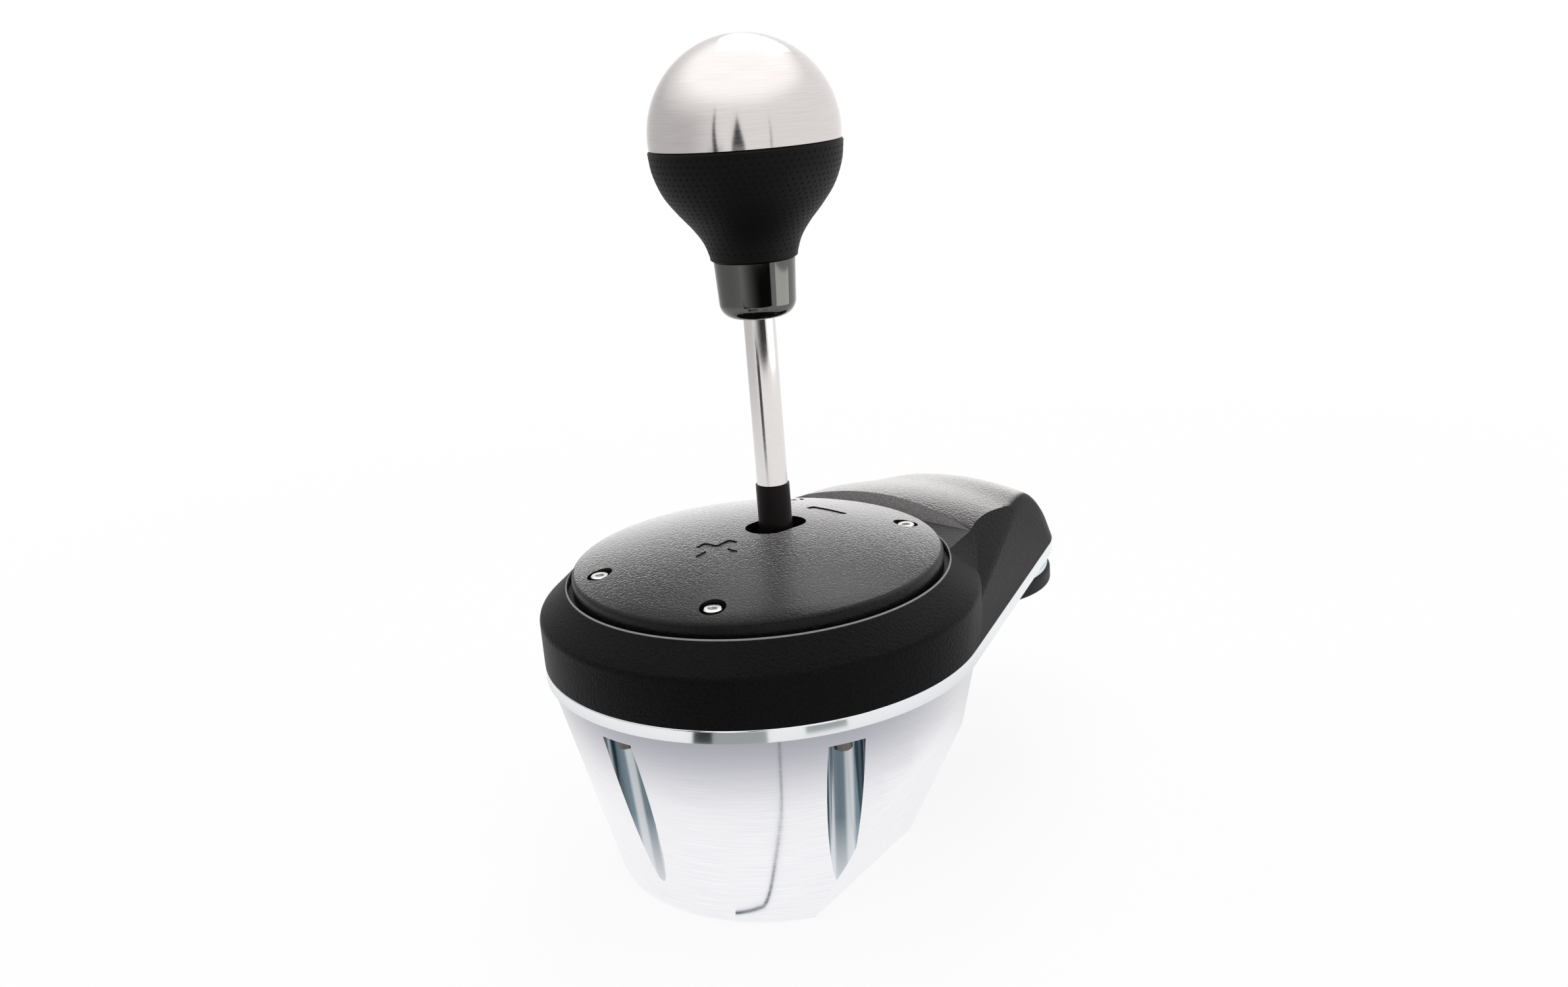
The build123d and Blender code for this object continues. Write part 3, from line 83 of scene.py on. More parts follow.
def wrap_around(mesh, centre):
    """The UV map 'around' for a vertical axis: u is the arc at wrap_radius from it and v is the height."""
    layer = mesh.uv_layers.new(name="around")
    axis_x, axis_y = centre[0] * mm, centre[1] * mm
    for face in mesh.polygons:
        turn = atan2(face.center.y - axis_y, face.center.x - axis_x)
        for corner in face.loop_indices:
            spot = mesh.vertices[mesh.loops[corner].vertex_index].co
            angle = atan2(spot.y - axis_y, spot.x - axis_x) - turn
            angle = (angle + pi) % (2 * pi) - pi
            layer.data[corner].uv = ((turn + angle) * wrap_radius, spot.z)


def drop_attribute(mesh, name):
    """Takes an attribute off a mesh that has it."""
    found = mesh.attributes.get(name)
    if found is not None:
        mesh.attributes.remove(found)


def ring(work, radius, height, sides, centre=(0.0, 0.0), hexagonal=False):
    """Points in mm round a vertical axis, on a circle or on a hexagon with its corners at the radius."""
    spots = []
    for step in range(sides):
        turn = 2 * pi * step / sides
        reach = radius
        if hexagonal:
            reach = radius * cos(pi / 6) / cos((turn % (pi / 3)) - pi / 6)
        x, y = centre[0] + reach * cos(turn), centre[1] + reach * sin(turn)
        spots.append(work.verts.new((x * mm, y * mm, height * mm)))
    return spots


def skin(work, rings):
    """Faces between each ring and the next."""
    for first, second in zip(rings, rings[1:]):
        for step in range(len(first)):
            after = (step + 1) % len(first)
            work.faces.new((first[step], first[after], second[after], second[step]))


def turned(name, profile, centre=(0.0, 0.0), sides=160):
    """A turned piece from a closed profile of (radius, height) in mm, counter-clockwise in that plane."""
    work = bmesh.new()
    rings = []
    for radius, height in profile:
        on_axis = radius < 1e-6
        rings.append(ring(work, radius, height, 1 if on_axis else sides, centre))
    for first, second in zip(rings, rings[1:] + rings[:1]):
        if len(first) == 1 and len(second) == 1:
            continue
        for step in range(sides):
            after = (step + 1) % sides
            corners = (first[step % len(first)], first[after % len(first)],
                       second[after % len(second)], second[step % len(second)])
            unique = []
            for corner in corners:
                if corner not in unique:
                    unique.append(corner)
            work.faces.new(unique)
    bmesh.ops.recalc_face_normals(work, faces=work.faces)
    mesh = mesh_of(work, name)
    soften(mesh)
    wrap_around(mesh, centre)
    return plain_object(name, mesh)


merge_distance = 0.004 * mm


def refined(node, name, crease, centre=(0.0, 0.0)):
    """A merged, smooth-shaded copy of a CAD node's mesh, which stands for the node."""
    work = bmesh.new()
    work.from_mesh(frame["nodes"][node].data)
    bmesh.ops.remove_doubles(work, verts=work.verts, dist=merge_distance)
    mesh = mesh_of(work, name)
    drop_attribute(mesh, "custom_normal")
    soften(mesh, crease)
    wrap_around(mesh, centre)
    return plain_object(name, mesh)


def arc(centre, radius, start, end, steps):
    """Points of an arc in a plane, angles in degrees from its first axis."""
    spots = []
    for step in range(steps + 1):
        turn = radians(start + (end - start) * step / steps)
        spots.append((centre[0] + radius * cos(turn), centre[1] + radius * sin(turn)))
    return spots


def smooth_line(points, steps):
    """A line through every point, with a slope at each one taken from its neighbours."""
    spots = []
    count = len(points)
    for index in range(count - 1):
        before = points[max(index - 1, 0)]
        start, end = points[index], points[index + 1]
        after = points[min(index + 2, count - 1)]
        for step in range(steps):
            t = step / steps
            spot = []
            for back, here, there, beyond in zip(before, start, end, after):
                leave, arrive = (there - back) / 2, (beyond - here) / 2
                spot.append((2 * t ** 3 - 3 * t ** 2 + 1) * here + (t ** 3 - 2 * t ** 2 + t) * leave
                            + (3 * t ** 2 - 2 * t ** 3) * there + (t ** 3 - t ** 2) * arrive)
            spots.append(tuple(spot))
    spots.append(points[-1])
    return spots


def repeat_tree(name):
    """A Geometry Nodes tree that sets one shape on every point of a mesh, turned to the point's direction."""
    tree = bpy.data.node_groups.new(name, "GeometryNodeTree")
    entries = {}
    kinds = {"Spots": "Geometry", "Shape": "Object", "Size": "Float", "Finish": "Material"}
    for label, kind in kinds.items():
        socket = tree.interface.new_socket(name=label, in_out="INPUT", socket_type="NodeSocket" + kind)
        entries[label] = socket
    entries["Size"].default_value = 1.0
    entries["Size"].min_value = 0.0
    tree.interface.new_socket(name="Pieces", in_out="OUTPUT", socket_type="NodeSocketGeometry")
    nodes, links = tree.nodes, tree.links
    entry = nodes.new("NodeGroupInput")
    result = nodes.new("NodeGroupOutput")
    shape = nodes.new("GeometryNodeObjectInfo")
    direction = nodes.new("GeometryNodeInputNamedAttribute")
    direction.data_type = "FLOAT_VECTOR"
    direction.inputs["Name"].default_value = "points_along"
    aim = nodes.new("FunctionNodeAlignRotationToVector")
    aim.axis = "Z"
    place = nodes.new("GeometryNodeInstanceOnPoints")
    real = nodes.new("GeometryNodeRealizeInstances")
    paint = nodes.new("GeometryNodeSetMaterial")
    links.new(entry.outputs["Shape"], shape.inputs["Object"])
    links.new(direction.outputs["Attribute"], aim.inputs["Vector"])
    links.new(entry.outputs["Spots"], place.inputs["Points"])
    links.new(shape.outputs["Geometry"], place.inputs["Instance"])
    links.new(aim.outputs["Rotation"], place.inputs["Rotation"])
    links.new(entry.outputs["Size"], place.inputs["Scale"])
    links.new(place.outputs["Instances"], real.inputs["Geometry"])
    links.new(real.outputs["Geometry"], paint.inputs["Geometry"])
    links.new(entry.outputs["Finish"], paint.inputs["Material"])
    links.new(paint.outputs["Geometry"], result.inputs["Pieces"])
    return tree, entries


def repeated(name, spots, directions, shape, material, size=1.0):
    """One mesh with shape set on each spot (mm), its own +Z along the spot's direction."""
    tree, entries = repeat_tree(name + "_tree")
    mesh = bpy.data.meshes.new(name + "_spots")
    mesh.from_pydata([(x * mm, y * mm, z * mm) for x, y, z in spots], [], [])
    along = mesh.attributes.new("points_along", "FLOAT_VECTOR", "POINT")
    for index, direction in enumerate(directions):
        along.data[index].vector = direction
    holder = plain_object(name + "_holder", mesh)
    modifier = holder.modifiers.new("repeat", "NODES")
    modifier.node_group = tree
    for label, value in (("Shape", shape), ("Size", size), ("Finish", material)):
        modifier[entries[label].identifier] = value
    graph = bpy.context.evaluated_depsgraph_get()
    graph.update()
    made = bpy.data.meshes.new_from_object(holder.evaluated_get(graph))
    made.name = name
    bpy.data.objects.remove(holder)
    bpy.data.objects.remove(shape)
    drop_attribute(made, "points_along")
    soften(made)
    return plain_object(name, made)


# Ways to make a finish

def shader_sockets(material):
    return material.node_tree.nodes["Principled BSDF"].inputs


def finish(name, colour, metallic=0.0, roughness=0.5, **sockets):
    """A material with its constants on the shader's own sockets."""
    material = bpy.data.materials.new(name)
    material.use_nodes = True
    shader = shader_sockets(material)
    shader["Base Color"].default_value = (*colour, 1.0)
    shader["Metallic"].default_value = metallic
    shader["Roughness"].default_value = roughness
    for socket, value in sockets.items():
        shader[socket.replace("_", " ")].default_value = value
    return material


def add_node(owner, kind, **settings):
    """A node of a material or the world. A setting goes to the socket of that name, or else to the node."""
    node = owner.node_tree.nodes.new(kind)
    for key, value in settings.items():
        socket = key.replace("_", " ")
        if socket in node.inputs:
            node.inputs[socket].default_value = value
        else:
            setattr(node, key, value)
    return node


def join_up(owner, source, socket):
    owner.node_tree.links.new(source, socket)


def ramp(owner, source, start, end, low=0.0, high=1.0, course="LINEAR"):
    """A number that goes from low to high while source goes from start to end."""
    node = add_node(owner, "ShaderNodeMapRange", interpolation_type=course,
                    From_Min=start, From_Max=end, To_Min=low, To_Max=high)
    join_up(owner, source, node.inputs["Value"])
    return node.outputs["Result"]


def soft_step(owner, source, start, end):
    """A number that goes smoothly from 0 to 1 while source goes from start to end."""
    return ramp(owner, source, start, end, course="SMOOTHSTEP")


def reckon(owner, operation, *terms):
    """A Math node on numbers and sockets."""
    node = add_node(owner, "ShaderNodeMath", operation=operation)
    for socket, term in zip(node.inputs, terms):
        if isinstance(term, float):
            socket.default_value = term
        else:
            join_up(owner, term, socket)
    return node.outputs["Value"]


def reckon_vector(owner, operation, vector, fixed=None):
    """A Vector Math node on a socket and, where it takes two vectors, a fixed one."""
    node = add_node(owner, "ShaderNodeVectorMath", operation=operation)
    join_up(owner, vector, node.inputs[0])
    if fixed:
        node.inputs[1].default_value = fixed
    gives_number = operation in ("DOT_PRODUCT", "LENGTH")
    return node.outputs["Value" if gives_number else "Vector"]


def along_axis(owner, vector, axis):
    """One of a vector's three numbers."""
    node = add_node(owner, "ShaderNodeSeparateXYZ")
    join_up(owner, vector, node.inputs[0])
    return node.outputs[axis]


def own_place(owner):
    """The Object coordinates, in metres."""
    return add_node(owner, "ShaderNodeTexCoord").outputs["Object"]


# A Mix node has a socket for each kind of value, so those for colours go by number
mix_share, mix_first, mix_second, mix_result = 0, 6, 7, 2


def mixed(owner, share, first, second):
    """A colour that goes from first to second as share goes from 0 to 1. Either is a colour or a socket."""
    node = add_node(owner, "ShaderNodeMix", data_type="RGBA")
    join_up(owner, share, node.inputs[mix_share])
    for socket, colour in ((node.inputs[mix_first], first), (node.inputs[mix_second], second)):
        if isinstance(colour, tuple):
            socket.default_value = (*colour, 1.0)
        else:
            join_up(owner, colour, socket)
    return node.outputs[mix_result]


level_out = (1.0, 1.0, 0.0)    # what a vector is multiplied by to lose its height


def pointing(azimuth):
    """A level direction, as a vector."""
    return (cos(radians(azimuth)), sin(radians(azimuth)), 0.0)


brush_depth = 0.00001          # metres
brush_bump = 0.35
streak_range = (0.3, 0.7)      # the values of the noise that the streaks are spread over
streak_roughness = (0.72, 1.35)    # shares of the metal's roughness at those two values
painted_shade_side = -52.0              # azimuth of the side where the bowl's upper part has painted shade
painted_shade_reach = (0.018, 0.056)    # metres towards that side, over which the painted shade comes on


def brushed(name, colour, shade, roughness, lines, spread, anisotropic=0.88, painted_shade=None):
    """Metal brushed round a vertical axis, on the 'around' UV map: lines along u, close together along v.

    Its last argument is (low, high, colour): painted shade, the darker colour the metal turns to between two
    heights in metres, on one side.
    """
    material = finish(name, colour, 1.0, roughness, Anisotropic=anisotropic, Anisotropic_Rotation=0.25)
    shader = shader_sockets(material)
    wrap = add_node(material, "ShaderNodeUVMap", uv_map="around")
    stretch = add_node(material, "ShaderNodeMapping", Scale=(spread, lines, 1.0))
    noise = add_node(material, "ShaderNodeTexNoise", Scale=1.0, Detail=5.0, Roughness=0.65)
    join_up(material, wrap.outputs["UV"], stretch.inputs["Vector"])
    join_up(material, stretch.outputs["Vector"], noise.inputs["Vector"])
    streak = noise.outputs["Fac"]
    smoothest, roughest = (share * roughness for share in streak_roughness)
    join_up(material, ramp(material, streak, *streak_range, smoothest, roughest), shader["Roughness"])
    paint = mixed(material, ramp(material, streak, *streak_range), shade, colour)
    # painted shade: darker towards the top of the bowl, under the flange, on one side
    if painted_shade:
        low, high, painted_shade_colour = painted_shade
        place = own_place(material)
        aside = reckon_vector(material, "DOT_PRODUCT", place, pointing(painted_shade_side))
        share = reckon(material, "MULTIPLY", soft_step(material, along_axis(material, place, "Z"), low, high),
                       soft_step(material, aside, *painted_shade_reach))
        paint = mixed(material, share, paint, painted_shade_colour)
    join_up(material, paint, shader["Base Color"])
    bump = add_node(material, "ShaderNodeBump", Strength=brush_bump, Distance=brush_depth)
    join_up(material, streak, bump.inputs["Height"])
    join_up(material, bump.outputs["Normal"], shader["Normal"])
    tangent = add_node(material, "ShaderNodeTangent", direction_type="UV_MAP", uv_map="around")
    join_up(material, tangent.outputs["Tangent"], shader["Tangent"])
    return material


painted_sheen_upward = (0.78, 0.95)    # the height of a face's normal, over which the painted sheen comes on
painted_sheen_ahead = 0.12             # the painted sheen's share ahead of its line
painted_sheen_power = 3.0              # how late on the way to a grazing view most of it comes on


def painted_sheen_share(material, normal, facing, behind=None):
    """The share of painted sheen: how pale the plastic is painted at a grazing view, on faces that look up.

    Facing is where the painted sheen starts and ends on the way from a straight view, 0, to a grazing one, 1.
    Behind is where along Y, in metres, it goes from little to full.
    """
    weight = add_node(material, "ShaderNodeLayerWeight", Blend=0.5)
    join_up(material, normal, weight.inputs["Normal"])
    share = reckon(material, "POWER", ramp(material, weight.outputs["Facing"], *facing), painted_sheen_power)
    upward = along_axis(material, add_node(material, "ShaderNodeNewGeometry").outputs["Normal"], "Z")
    share = reckon(material, "MULTIPLY", share, soft_step(material, upward, *painted_sheen_upward))
    if behind:
        place = along_axis(material, own_place(material), "Y")
        share = reckon(material, "MULTIPLY", share, ramp(material, place, *behind, painted_sheen_ahead, 1.0))
    return share


# A painted highlight: a thin pale line on the housing's edge round the plate's groove
lip_highlight_radius = 0.05205           # metres from the plate's axis
lip_highlight_half_width = (0.00012, 0.00028)
lip_highlight_height = (0.0812, 0.0818)
lip_highlight_colour = (0.25, 0.25, 0.25)


def lip_highlight_share(material):
    """1 on the painted highlight, a thin pale line round the plate's groove, and 0 elsewhere."""
    place = own_place(material)
    out = reckon_vector(material, "LENGTH", reckon_vector(material, "MULTIPLY", place, level_out))
    beside = reckon(material, "ABSOLUTE", reckon(material, "SUBTRACT", out, lip_highlight_radius))
    line = reckon(material, "SUBTRACT", 1.0, soft_step(material, beside, *lip_highlight_half_width))
    height = along_axis(material, place, "Z")
    return reckon(material, "MULTIPLY", line, soft_step(material, height, *lip_highlight_height))


cell_weight = -0.8             # makes a cell's middle stand higher than its edges
relief_range = (-0.2, 0.6)     # the relief over which the paint goes from its shade to its colour


def grained(name, colour, shade, roughness, grain, depth, strength=0.75, painted_sheen=None, lip_highlight=False, **sockets):
    """Moulded plastic or leather with a fine grain, on Object coordinates. Grain and depth are in metres.

    The sheen argument is a painted sheen: its colour, followed by what the sheen's share above takes. The lip
    argument adds a painted highlight, a thin pale line round the plate's groove.
    """
    material = finish(name, colour, 0.0, roughness, **sockets)
    shader = shader_sockets(material)
    place = own_place(material)
    cells = add_node(material, "ShaderNodeTexVoronoi", feature="SMOOTH_F1", Scale=1.0 / grain, Smoothness=0.6)
    fine = add_node(material, "ShaderNodeTexNoise", Scale=0.7 / grain, Detail=3.0, Roughness=0.6)
    join_up(material, place, cells.inputs["Vector"])
    join_up(material, place, fine.inputs["Vector"])
    relief = reckon(material, "MULTIPLY_ADD", cells.outputs["Distance"], cell_weight, fine.outputs["Fac"])
    bump = add_node(material, "ShaderNodeBump", Strength=strength, Distance=depth)
    join_up(material, relief, bump.inputs["Height"])
    join_up(material, bump.outputs["Normal"], shader["Normal"])
    paint = mixed(material, ramp(material, relief, *relief_range), shade, colour)
    # painted sheen: the base colour turns pale at grazing views
    if painted_sheen:
        painted_sheen_colour, *reach = painted_sheen
        paint = mixed(material, painted_sheen_share(material, bump.outputs["Normal"], *reach), paint, painted_sheen_colour)
    # painted highlight round the plate's groove
    if lip_highlight:
        paint = mixed(material, lip_highlight_share(material), paint, lip_highlight_colour)
    join_up(material, paint, shader["Base Color"])
    return material


# A flute's painted reflections and shade from its middle, 0, to its edges, 1: dark, bright beside that, dark
# walls and bright edges
flute_painted_light_bands = ((0.0, (0.15, 0.20, 0.235)), (0.14, (0.17, 0.22, 0.255)), (0.28, (0.60, 0.64, 0.67)),
               (0.42, (0.66, 0.69, 0.72)), (0.56, (0.19, 0.26, 0.30)), (0.86, (0.10, 0.14, 0.17)),
               (0.97, (0.70, 0.73, 0.76)))
# a painted highlight that covers the flute's foot
flute_painted_highlight = (0.84, 0.85, 0.88)
flute_painted_highlight_share = 0.8
flute_fade = (0.008, 0.030)    # heights in metres between which the bands come out of the painted highlight at the foot


def fluted(name, colour, roughness):
    """Cut metal with painted reflections and shade that follow the attribute wall_turn across a flute, fading
    into a painted highlight towards its foot.
    """
    material = finish(name, colour, 1.0, roughness)
    wall = add_node(material, "ShaderNodeAttribute", attribute_name="wall_turn")
    bands = add_node(material, "ShaderNodeValToRGB")
    bands.color_ramp.interpolation = "EASE"
    stops = bands.color_ramp.elements
    for place, band in flute_painted_light_bands:
        stop = stops.new(place) if place else stops[0]
        stop.color = (*band, 1.0)
    stops.remove(stops[-1])
    join_up(material, reckon(material, "ABSOLUTE", wall.outputs["Fac"]), bands.inputs["Fac"])
    height = along_axis(material, own_place(material), "Z")
    share = ramp(material, height, *flute_fade, flute_painted_highlight_share, 0.0)
    join_up(material, mixed(material, share, bands.outputs["Color"], flute_painted_highlight),
            shader_sockets(material)["Base Color"])
    return material


dome_metal = brushed("brushed dome", (0.74, 0.70, 0.69), (0.64, 0.60, 0.59), 0.15, lines=4200.0, spread=45.0)
# the bowl's alloy, with painted shade on its upper part on one side
bowl_metal = brushed("brushed alloy", (0.985, 0.985, 1.0), (0.86, 0.86, 0.90), 0.14,
                     lines=2600.0, spread=60.0, painted_shade=(0.034, 0.062, (0.46, 0.46, 0.52)))
shaft_metal = brushed("drawn steel", (0.82, 0.79, 0.775), (0.72, 0.69, 0.68), 0.12,
                      lines=700.0, spread=900.0, anisotropic=0.3)
flange_metal = finish("polished alloy", (0.82, 0.83, 0.85), 1.0, 0.1)
flute_metal = fluted("cut alloy painted light", (0.46, 0.53, 0.58), 0.17)
foot_metal = finish("foot polish", (0.66, 0.76, 0.81), 1.0, 0.09)
# grained black: painted sheen mostly behind the plate, on the hump, with little ahead of it
black_grain = grained("grained black", (0.0055, 0.005, 0.005), (0.002, 0.0018, 0.0018), 0.42,
                      # the lip option paints a highlight round the plate's groove
                      grain=0.00062, depth=0.00018, lip_highlight=True, IOR=1.31, Specular_IOR_Level=0.15,
                      painted_sheen=((0.72, 0.70, 0.69), (0.36, 0.80), (0.0532, 0.0542)))
# painted light: the housing's black plastic painted much paler for the slope between plate and hump
slope_painted_light = grained("slope painted light", (0.30, 0.285, 0.28), (0.20, 0.19, 0.19), 0.45,
                      grain=0.00062, depth=0.00018, IOR=1.31, Specular_IOR_Level=0.2)
# the plate: painted sheen at grazing views all over it
plate_grain = grained("plate grain", (0.010, 0.0095, 0.0095), (0.003, 0.0028, 0.0028), 0.38,
                      grain=0.00058, depth=0.00018, painted_sheen=((0.90, 0.88, 0.88), (0.48, 0.88)),
                      IOR=1.31, Specular_IOR_Level=0.25, Coat_Weight=0.2, Coat_Roughness=0.26, Coat_IOR=1.33)
leather = grained("black leather", (0.0050, 0.0042, 0.0042), (0.003, 0.0026, 0.0026), 0.50,
                  grain=0.00040, depth=0.00010, strength=0.6, IOR=1.24, Specular_IOR_Level=0.4)
collar_gloss = finish("collar gloss", (0.115, 0.115, 0.11), 1.0, 0.08)
sleeve_black = finish("sleeve black", (0.008, 0.0055, 0.0055), 0.0, 0.34, IOR=1.31, Specular_IOR_Level=0.3)
pad_rubber = finish("pad rubber", (0.010, 0.010, 0.010), 0.0, 0.55, IOR=1.31)
# painted shade: a darker copy of the screw steel, for the heads under the bowl
shaded_steel = finish("shaded steel", (0.16, 0.15, 0.14), 1.0, 0.35)
screw_metal = finish("screw steel", (0.80, 0.79, 0.78), 1.0, 0.24)
# painted shade: black for the leather's holes and the screws' hex recesses
hole_painted_shade = finish("hole painted shade", (0.003, 0.003, 0.003), 0.0, 0.8, Specular_IOR_Level=0.1)
machined = finish("machined alloy", (0.70, 0.71, 0.73), 1.0, 0.35)
lever_steel = finish("turned steel", (0.50, 0.50, 0.51), 1.0, 0.25)
pin_chrome = finish("pin chrome", (0.75, 0.74, 0.73), 1.0, 0.1)
bronze = finish("bush bronze", (0.55, 0.36, 0.17), 1.0, 0.3)
wire_steel = finish("spring wire", (0.45, 0.45, 0.47), 1.0, 0.28)
slide_plastic = finish("slide plastic", (0.62, 0.61, 0.57), 0.0, 0.4)
dark_plastic = finish("dark plastic", (0.022, 0.022, 0.024), 0.0, 0.42)
port_metal = finish("port plating", (0.70, 0.70, 0.70), 1.0, 0.18)
board_green = finish("board lacquer", (0.012, 0.10, 0.045), 0.0, 0.3, Coat_Weight=0.6)
flex_amber = finish("flex film", (0.42, 0.17, 0.02), 0.0, 0.28, Coat_Weight=0.4)

# The finish of each of the record's material slots, which the CAD nodes take
slot_finish = {
    "dome_metal": dome_metal, "black_leather": leather, "black_gloss": collar_gloss,
    "polished_steel": pin_chrome, "sleeve_black": sleeve_black, "grained_black": black_grain,
    "cast_alloy": bowl_metal, "foot_metal": foot_metal, "black_rubber": pad_rubber,
    "screw_steel": screw_metal, "machined_alloy": machined, "lever_steel": lever_steel,
    "bronze": bronze, "spring_steel": wire_steel, "slide_plastic": slide_plastic,
    "dark_plastic": dark_plastic, "port_metal": port_metal, "board_green": board_green,
    "flex_amber": flex_amber,
}
node_slot = {part["node"]: part["material_slot"] for part in frame["record"]["subparts"]}


def painted(piece, *materials):
    """Gives a piece its materials, the first one for every face."""
    piece.data.materials.clear()
    for material in materials:
        piece.data.materials.append(material)


def stands_for(piece, body, slot_name, *nodes):
    """Makes a piece ride on a body in place of CAD nodes."""
    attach(piece, body)
    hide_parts(*nodes)


for node, cad_piece in frame["nodes"].items():
    painted(cad_piece, slot_finish[node_slot[node]])


# Knob, in mm

dome_centre, dome_radius, dome_edge = 196.1, 24.7, 193.5
cap_wall, cap_land = 2.0, 1.8                   # the wall, and the flat ring under the dome's edge
cap_chamfer, chamfer_turn = 0.25, 0.7           # how far in the chamfer goes, and the degrees of arc it takes
edge_angle = -degrees(asin((dome_centre - dome_edge) / dome_radius))
cap_rim = sqrt(dome_radius ** 2 - (dome_centre - dome_edge) ** 2) - cap_chamfer
cap_outside = arc((0.0, dome_centre), dome_radius, edge_angle + chamfer_turn, 90.0, steps=40)
cap_outside[-1] = (0.0, dome_centre + dome_radius)
cap_inside = arc((0.0, dome_centre), dome_radius - cap_wall, 90.0, edge_angle, steps=20)
cap_inside[0] = (0.0, dome_centre + dome_radius - cap_wall)
cap_foot = [(cap_rim - cap_land, dome_edge), (cap_rim, dome_edge)]
dome = turned("dome", cap_outside + cap_inside[:-1] + cap_foot, stick_axis, sides=192)
painted(dome, dome_metal)
stands_for(dome, "stick", "dome_metal", "knob_cap")

# The leather's outline: shares of its greatest radius, at shares of its height down from the dome
grip_radius, grip_height, grip_foot, grip_wall = 25.0, 28.7, 164.8, 1.7
grip_drops = (0.0, 0.19, 0.385, 0.547, 0.705, 0.833, 0.951, 1.0)
grip_shares = (1.0, 0.972, 0.888, 0.76, 0.608, 0.512, 0.464, 0.456)
grip_points = [(grip_radius * share, dome_edge - grip_height * drop)
               for share, drop in zip(grip_shares, grip_drops)]
grip_line = smooth_line(grip_points, steps=8)
grip_turn_in = [(24.3, dome_edge), (24.82, 193.4), (24.99, 193.05)]
grip_hem = [(11.38, 165.0), (11.1, grip_foot)]
line_from, line_to = 165.1, 192.7               # heights between which the outline follows grip_line
grip_outside = grip_turn_in + [spot for spot in grip_line if line_from < spot[1] < line_to] + grip_hem
grip_inside = [(radius - grip_wall, height) for radius, height in reversed(grip_outside)]
grip = turned("leather_grip", grip_outside + grip_inside, stick_axis)
painted(grip, leather)
stands_for(grip, "stick", "black_leather", "knob_grip")

# Perforations of the leather
perforation_pitch = 2.05                        # round the stick
row_step = 1.2                                  # along the leather
hole_radius = 0.31
hole_sides = 8
hole_rings = ((1.15, -0.012), (1.0, 0.008), (0.7, 0.003))  # shares of that radius, and heights
perforated_from, perforated_to = 166.0, 192.2   # heights on the stick


def perforation_rows(line):
    """Places and outward directions of the holes, in even rows, each second one half a pitch on."""
    spots, directions = [], []
    walked, row = 0.0, 0
    for above, below in zip(line, line[1:]):
        walked += sqrt((below[0] - above[0]) ** 2 + (below[1] - above[1]) ** 2)
        radius, height = below
        if walked < row_step or not perforated_from < height < perforated_to:
            continue
        walked = 0.0
        row += 1
        outward = Vector((above[1] - below[1], 0.0, below[0] - above[0])).normalized()
        count = round(2 * pi * radius / perforation_pitch)
        for place in range(count):
            turn = 2 * pi * (place + 0.5 * (row % 2)) / count
            spots.append((stick_axis[0] + radius * cos(turn), stick_axis[1] + radius * sin(turn), height))
            directions.append((outward.x * cos(turn), outward.x * sin(turn), outward.z))
    return spots, directions


def perforation():
    """A small disc of painted shade on the leather, standing for a hole, with a low raised rim."""
    work = bmesh.new()
    rings = [ring(work, hole_radius * share, lift, hole_sides) for share, lift in hole_rings]
    skin(work, rings)
    work.faces.new(rings[-1])
    return plain_object("perforation", mesh_of(work, "perforation"))


holes = repeated("grip_perforations", *perforation_rows(grip_line), perforation(), hole_painted_shade)
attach(holes, "stick")

collar_bore, collar_foot, collar_head = 4.3, 10.1, 10.67  # radii
collar_bottom, collar_top = 149.5, 164.8
collar_round, collar_chamfer = 4.2, (0.27, 0.3)
round_centre = (collar_foot - collar_round, collar_bottom + collar_round)
collar_profile = [(collar_bore, collar_bottom)] + arc(round_centre, collar_round, -90.0, 0.0, steps=16)
collar_profile += [(collar_head, collar_top - collar_chamfer[1]),
                   (collar_head - collar_chamfer[0], collar_top), (collar_bore, collar_top)]
collar = turned("collar", collar_profile, stick_axis, sides=128)
painted(collar, collar_gloss)
stands_for(collar, "stick", "black_gloss", "knob_collar")

# Stick, in mm

neck_radius, shaft_radius = 3.6, 4.2
shaft_foot, shaft_shoulder, shaft_top = 59.0, 103.5, 188.0
shoulder_chamfer = (0.2, 0.3)
shaft_profile = [(0.0, shaft_foot), (neck_radius, shaft_foot), (neck_radius, shaft_shoulder),
                 (shaft_radius - shoulder_chamfer[0], shaft_shoulder),
                 (shaft_radius, shaft_shoulder + shoulder_chamfer[1]),
                 (shaft_radius, shaft_top), (0.0, shaft_top)]
shaft = turned("shaft", shaft_profile, stick_axis, sides=96)
painted(shaft, shaft_metal)
stands_for(shaft, "stick", "polished_steel", "stick_shaft")

sleeve = refined("stick_sleeve", "sleeve", crease=32.0, centre=stick_axis)
painted(sleeve, sleeve_black)
stands_for(sleeve, "stick", "sleeve_black", "stick_sleeve")

# Plate and housing

plate = refined("shift_plate", "plate", crease=26.0)
painted(plate, plate_grain)
stands_for(plate, "housing", "grained_black", "shift_plate")

slope_foot, slope_front = 0.0805, 0.040         # metres
slope_painted_light_index = 1                                # the place of the slope's painted light in the housing's list


def on_slope(face):
    """Whether a face of the housing is on the slope between the plate and the hump."""
    looks_ahead = face.normal.y < -0.35 and face.normal.z > 0.02
    return face.center.z > slope_foot and face.center.y > slope_front and looks_ahead


shell = refined("top_housing", "housing", crease=24.0)
painted(shell, black_grain, slope_painted_light)
# faces on the slope take the paler painted-light copy of the plastic
for face in shell.data.polygons:
    if on_slope(face):
        face.material_index = slope_painted_light_index
stands_for(shell, "housing", "grained_black", "top_housing")

# Bowl, in mm

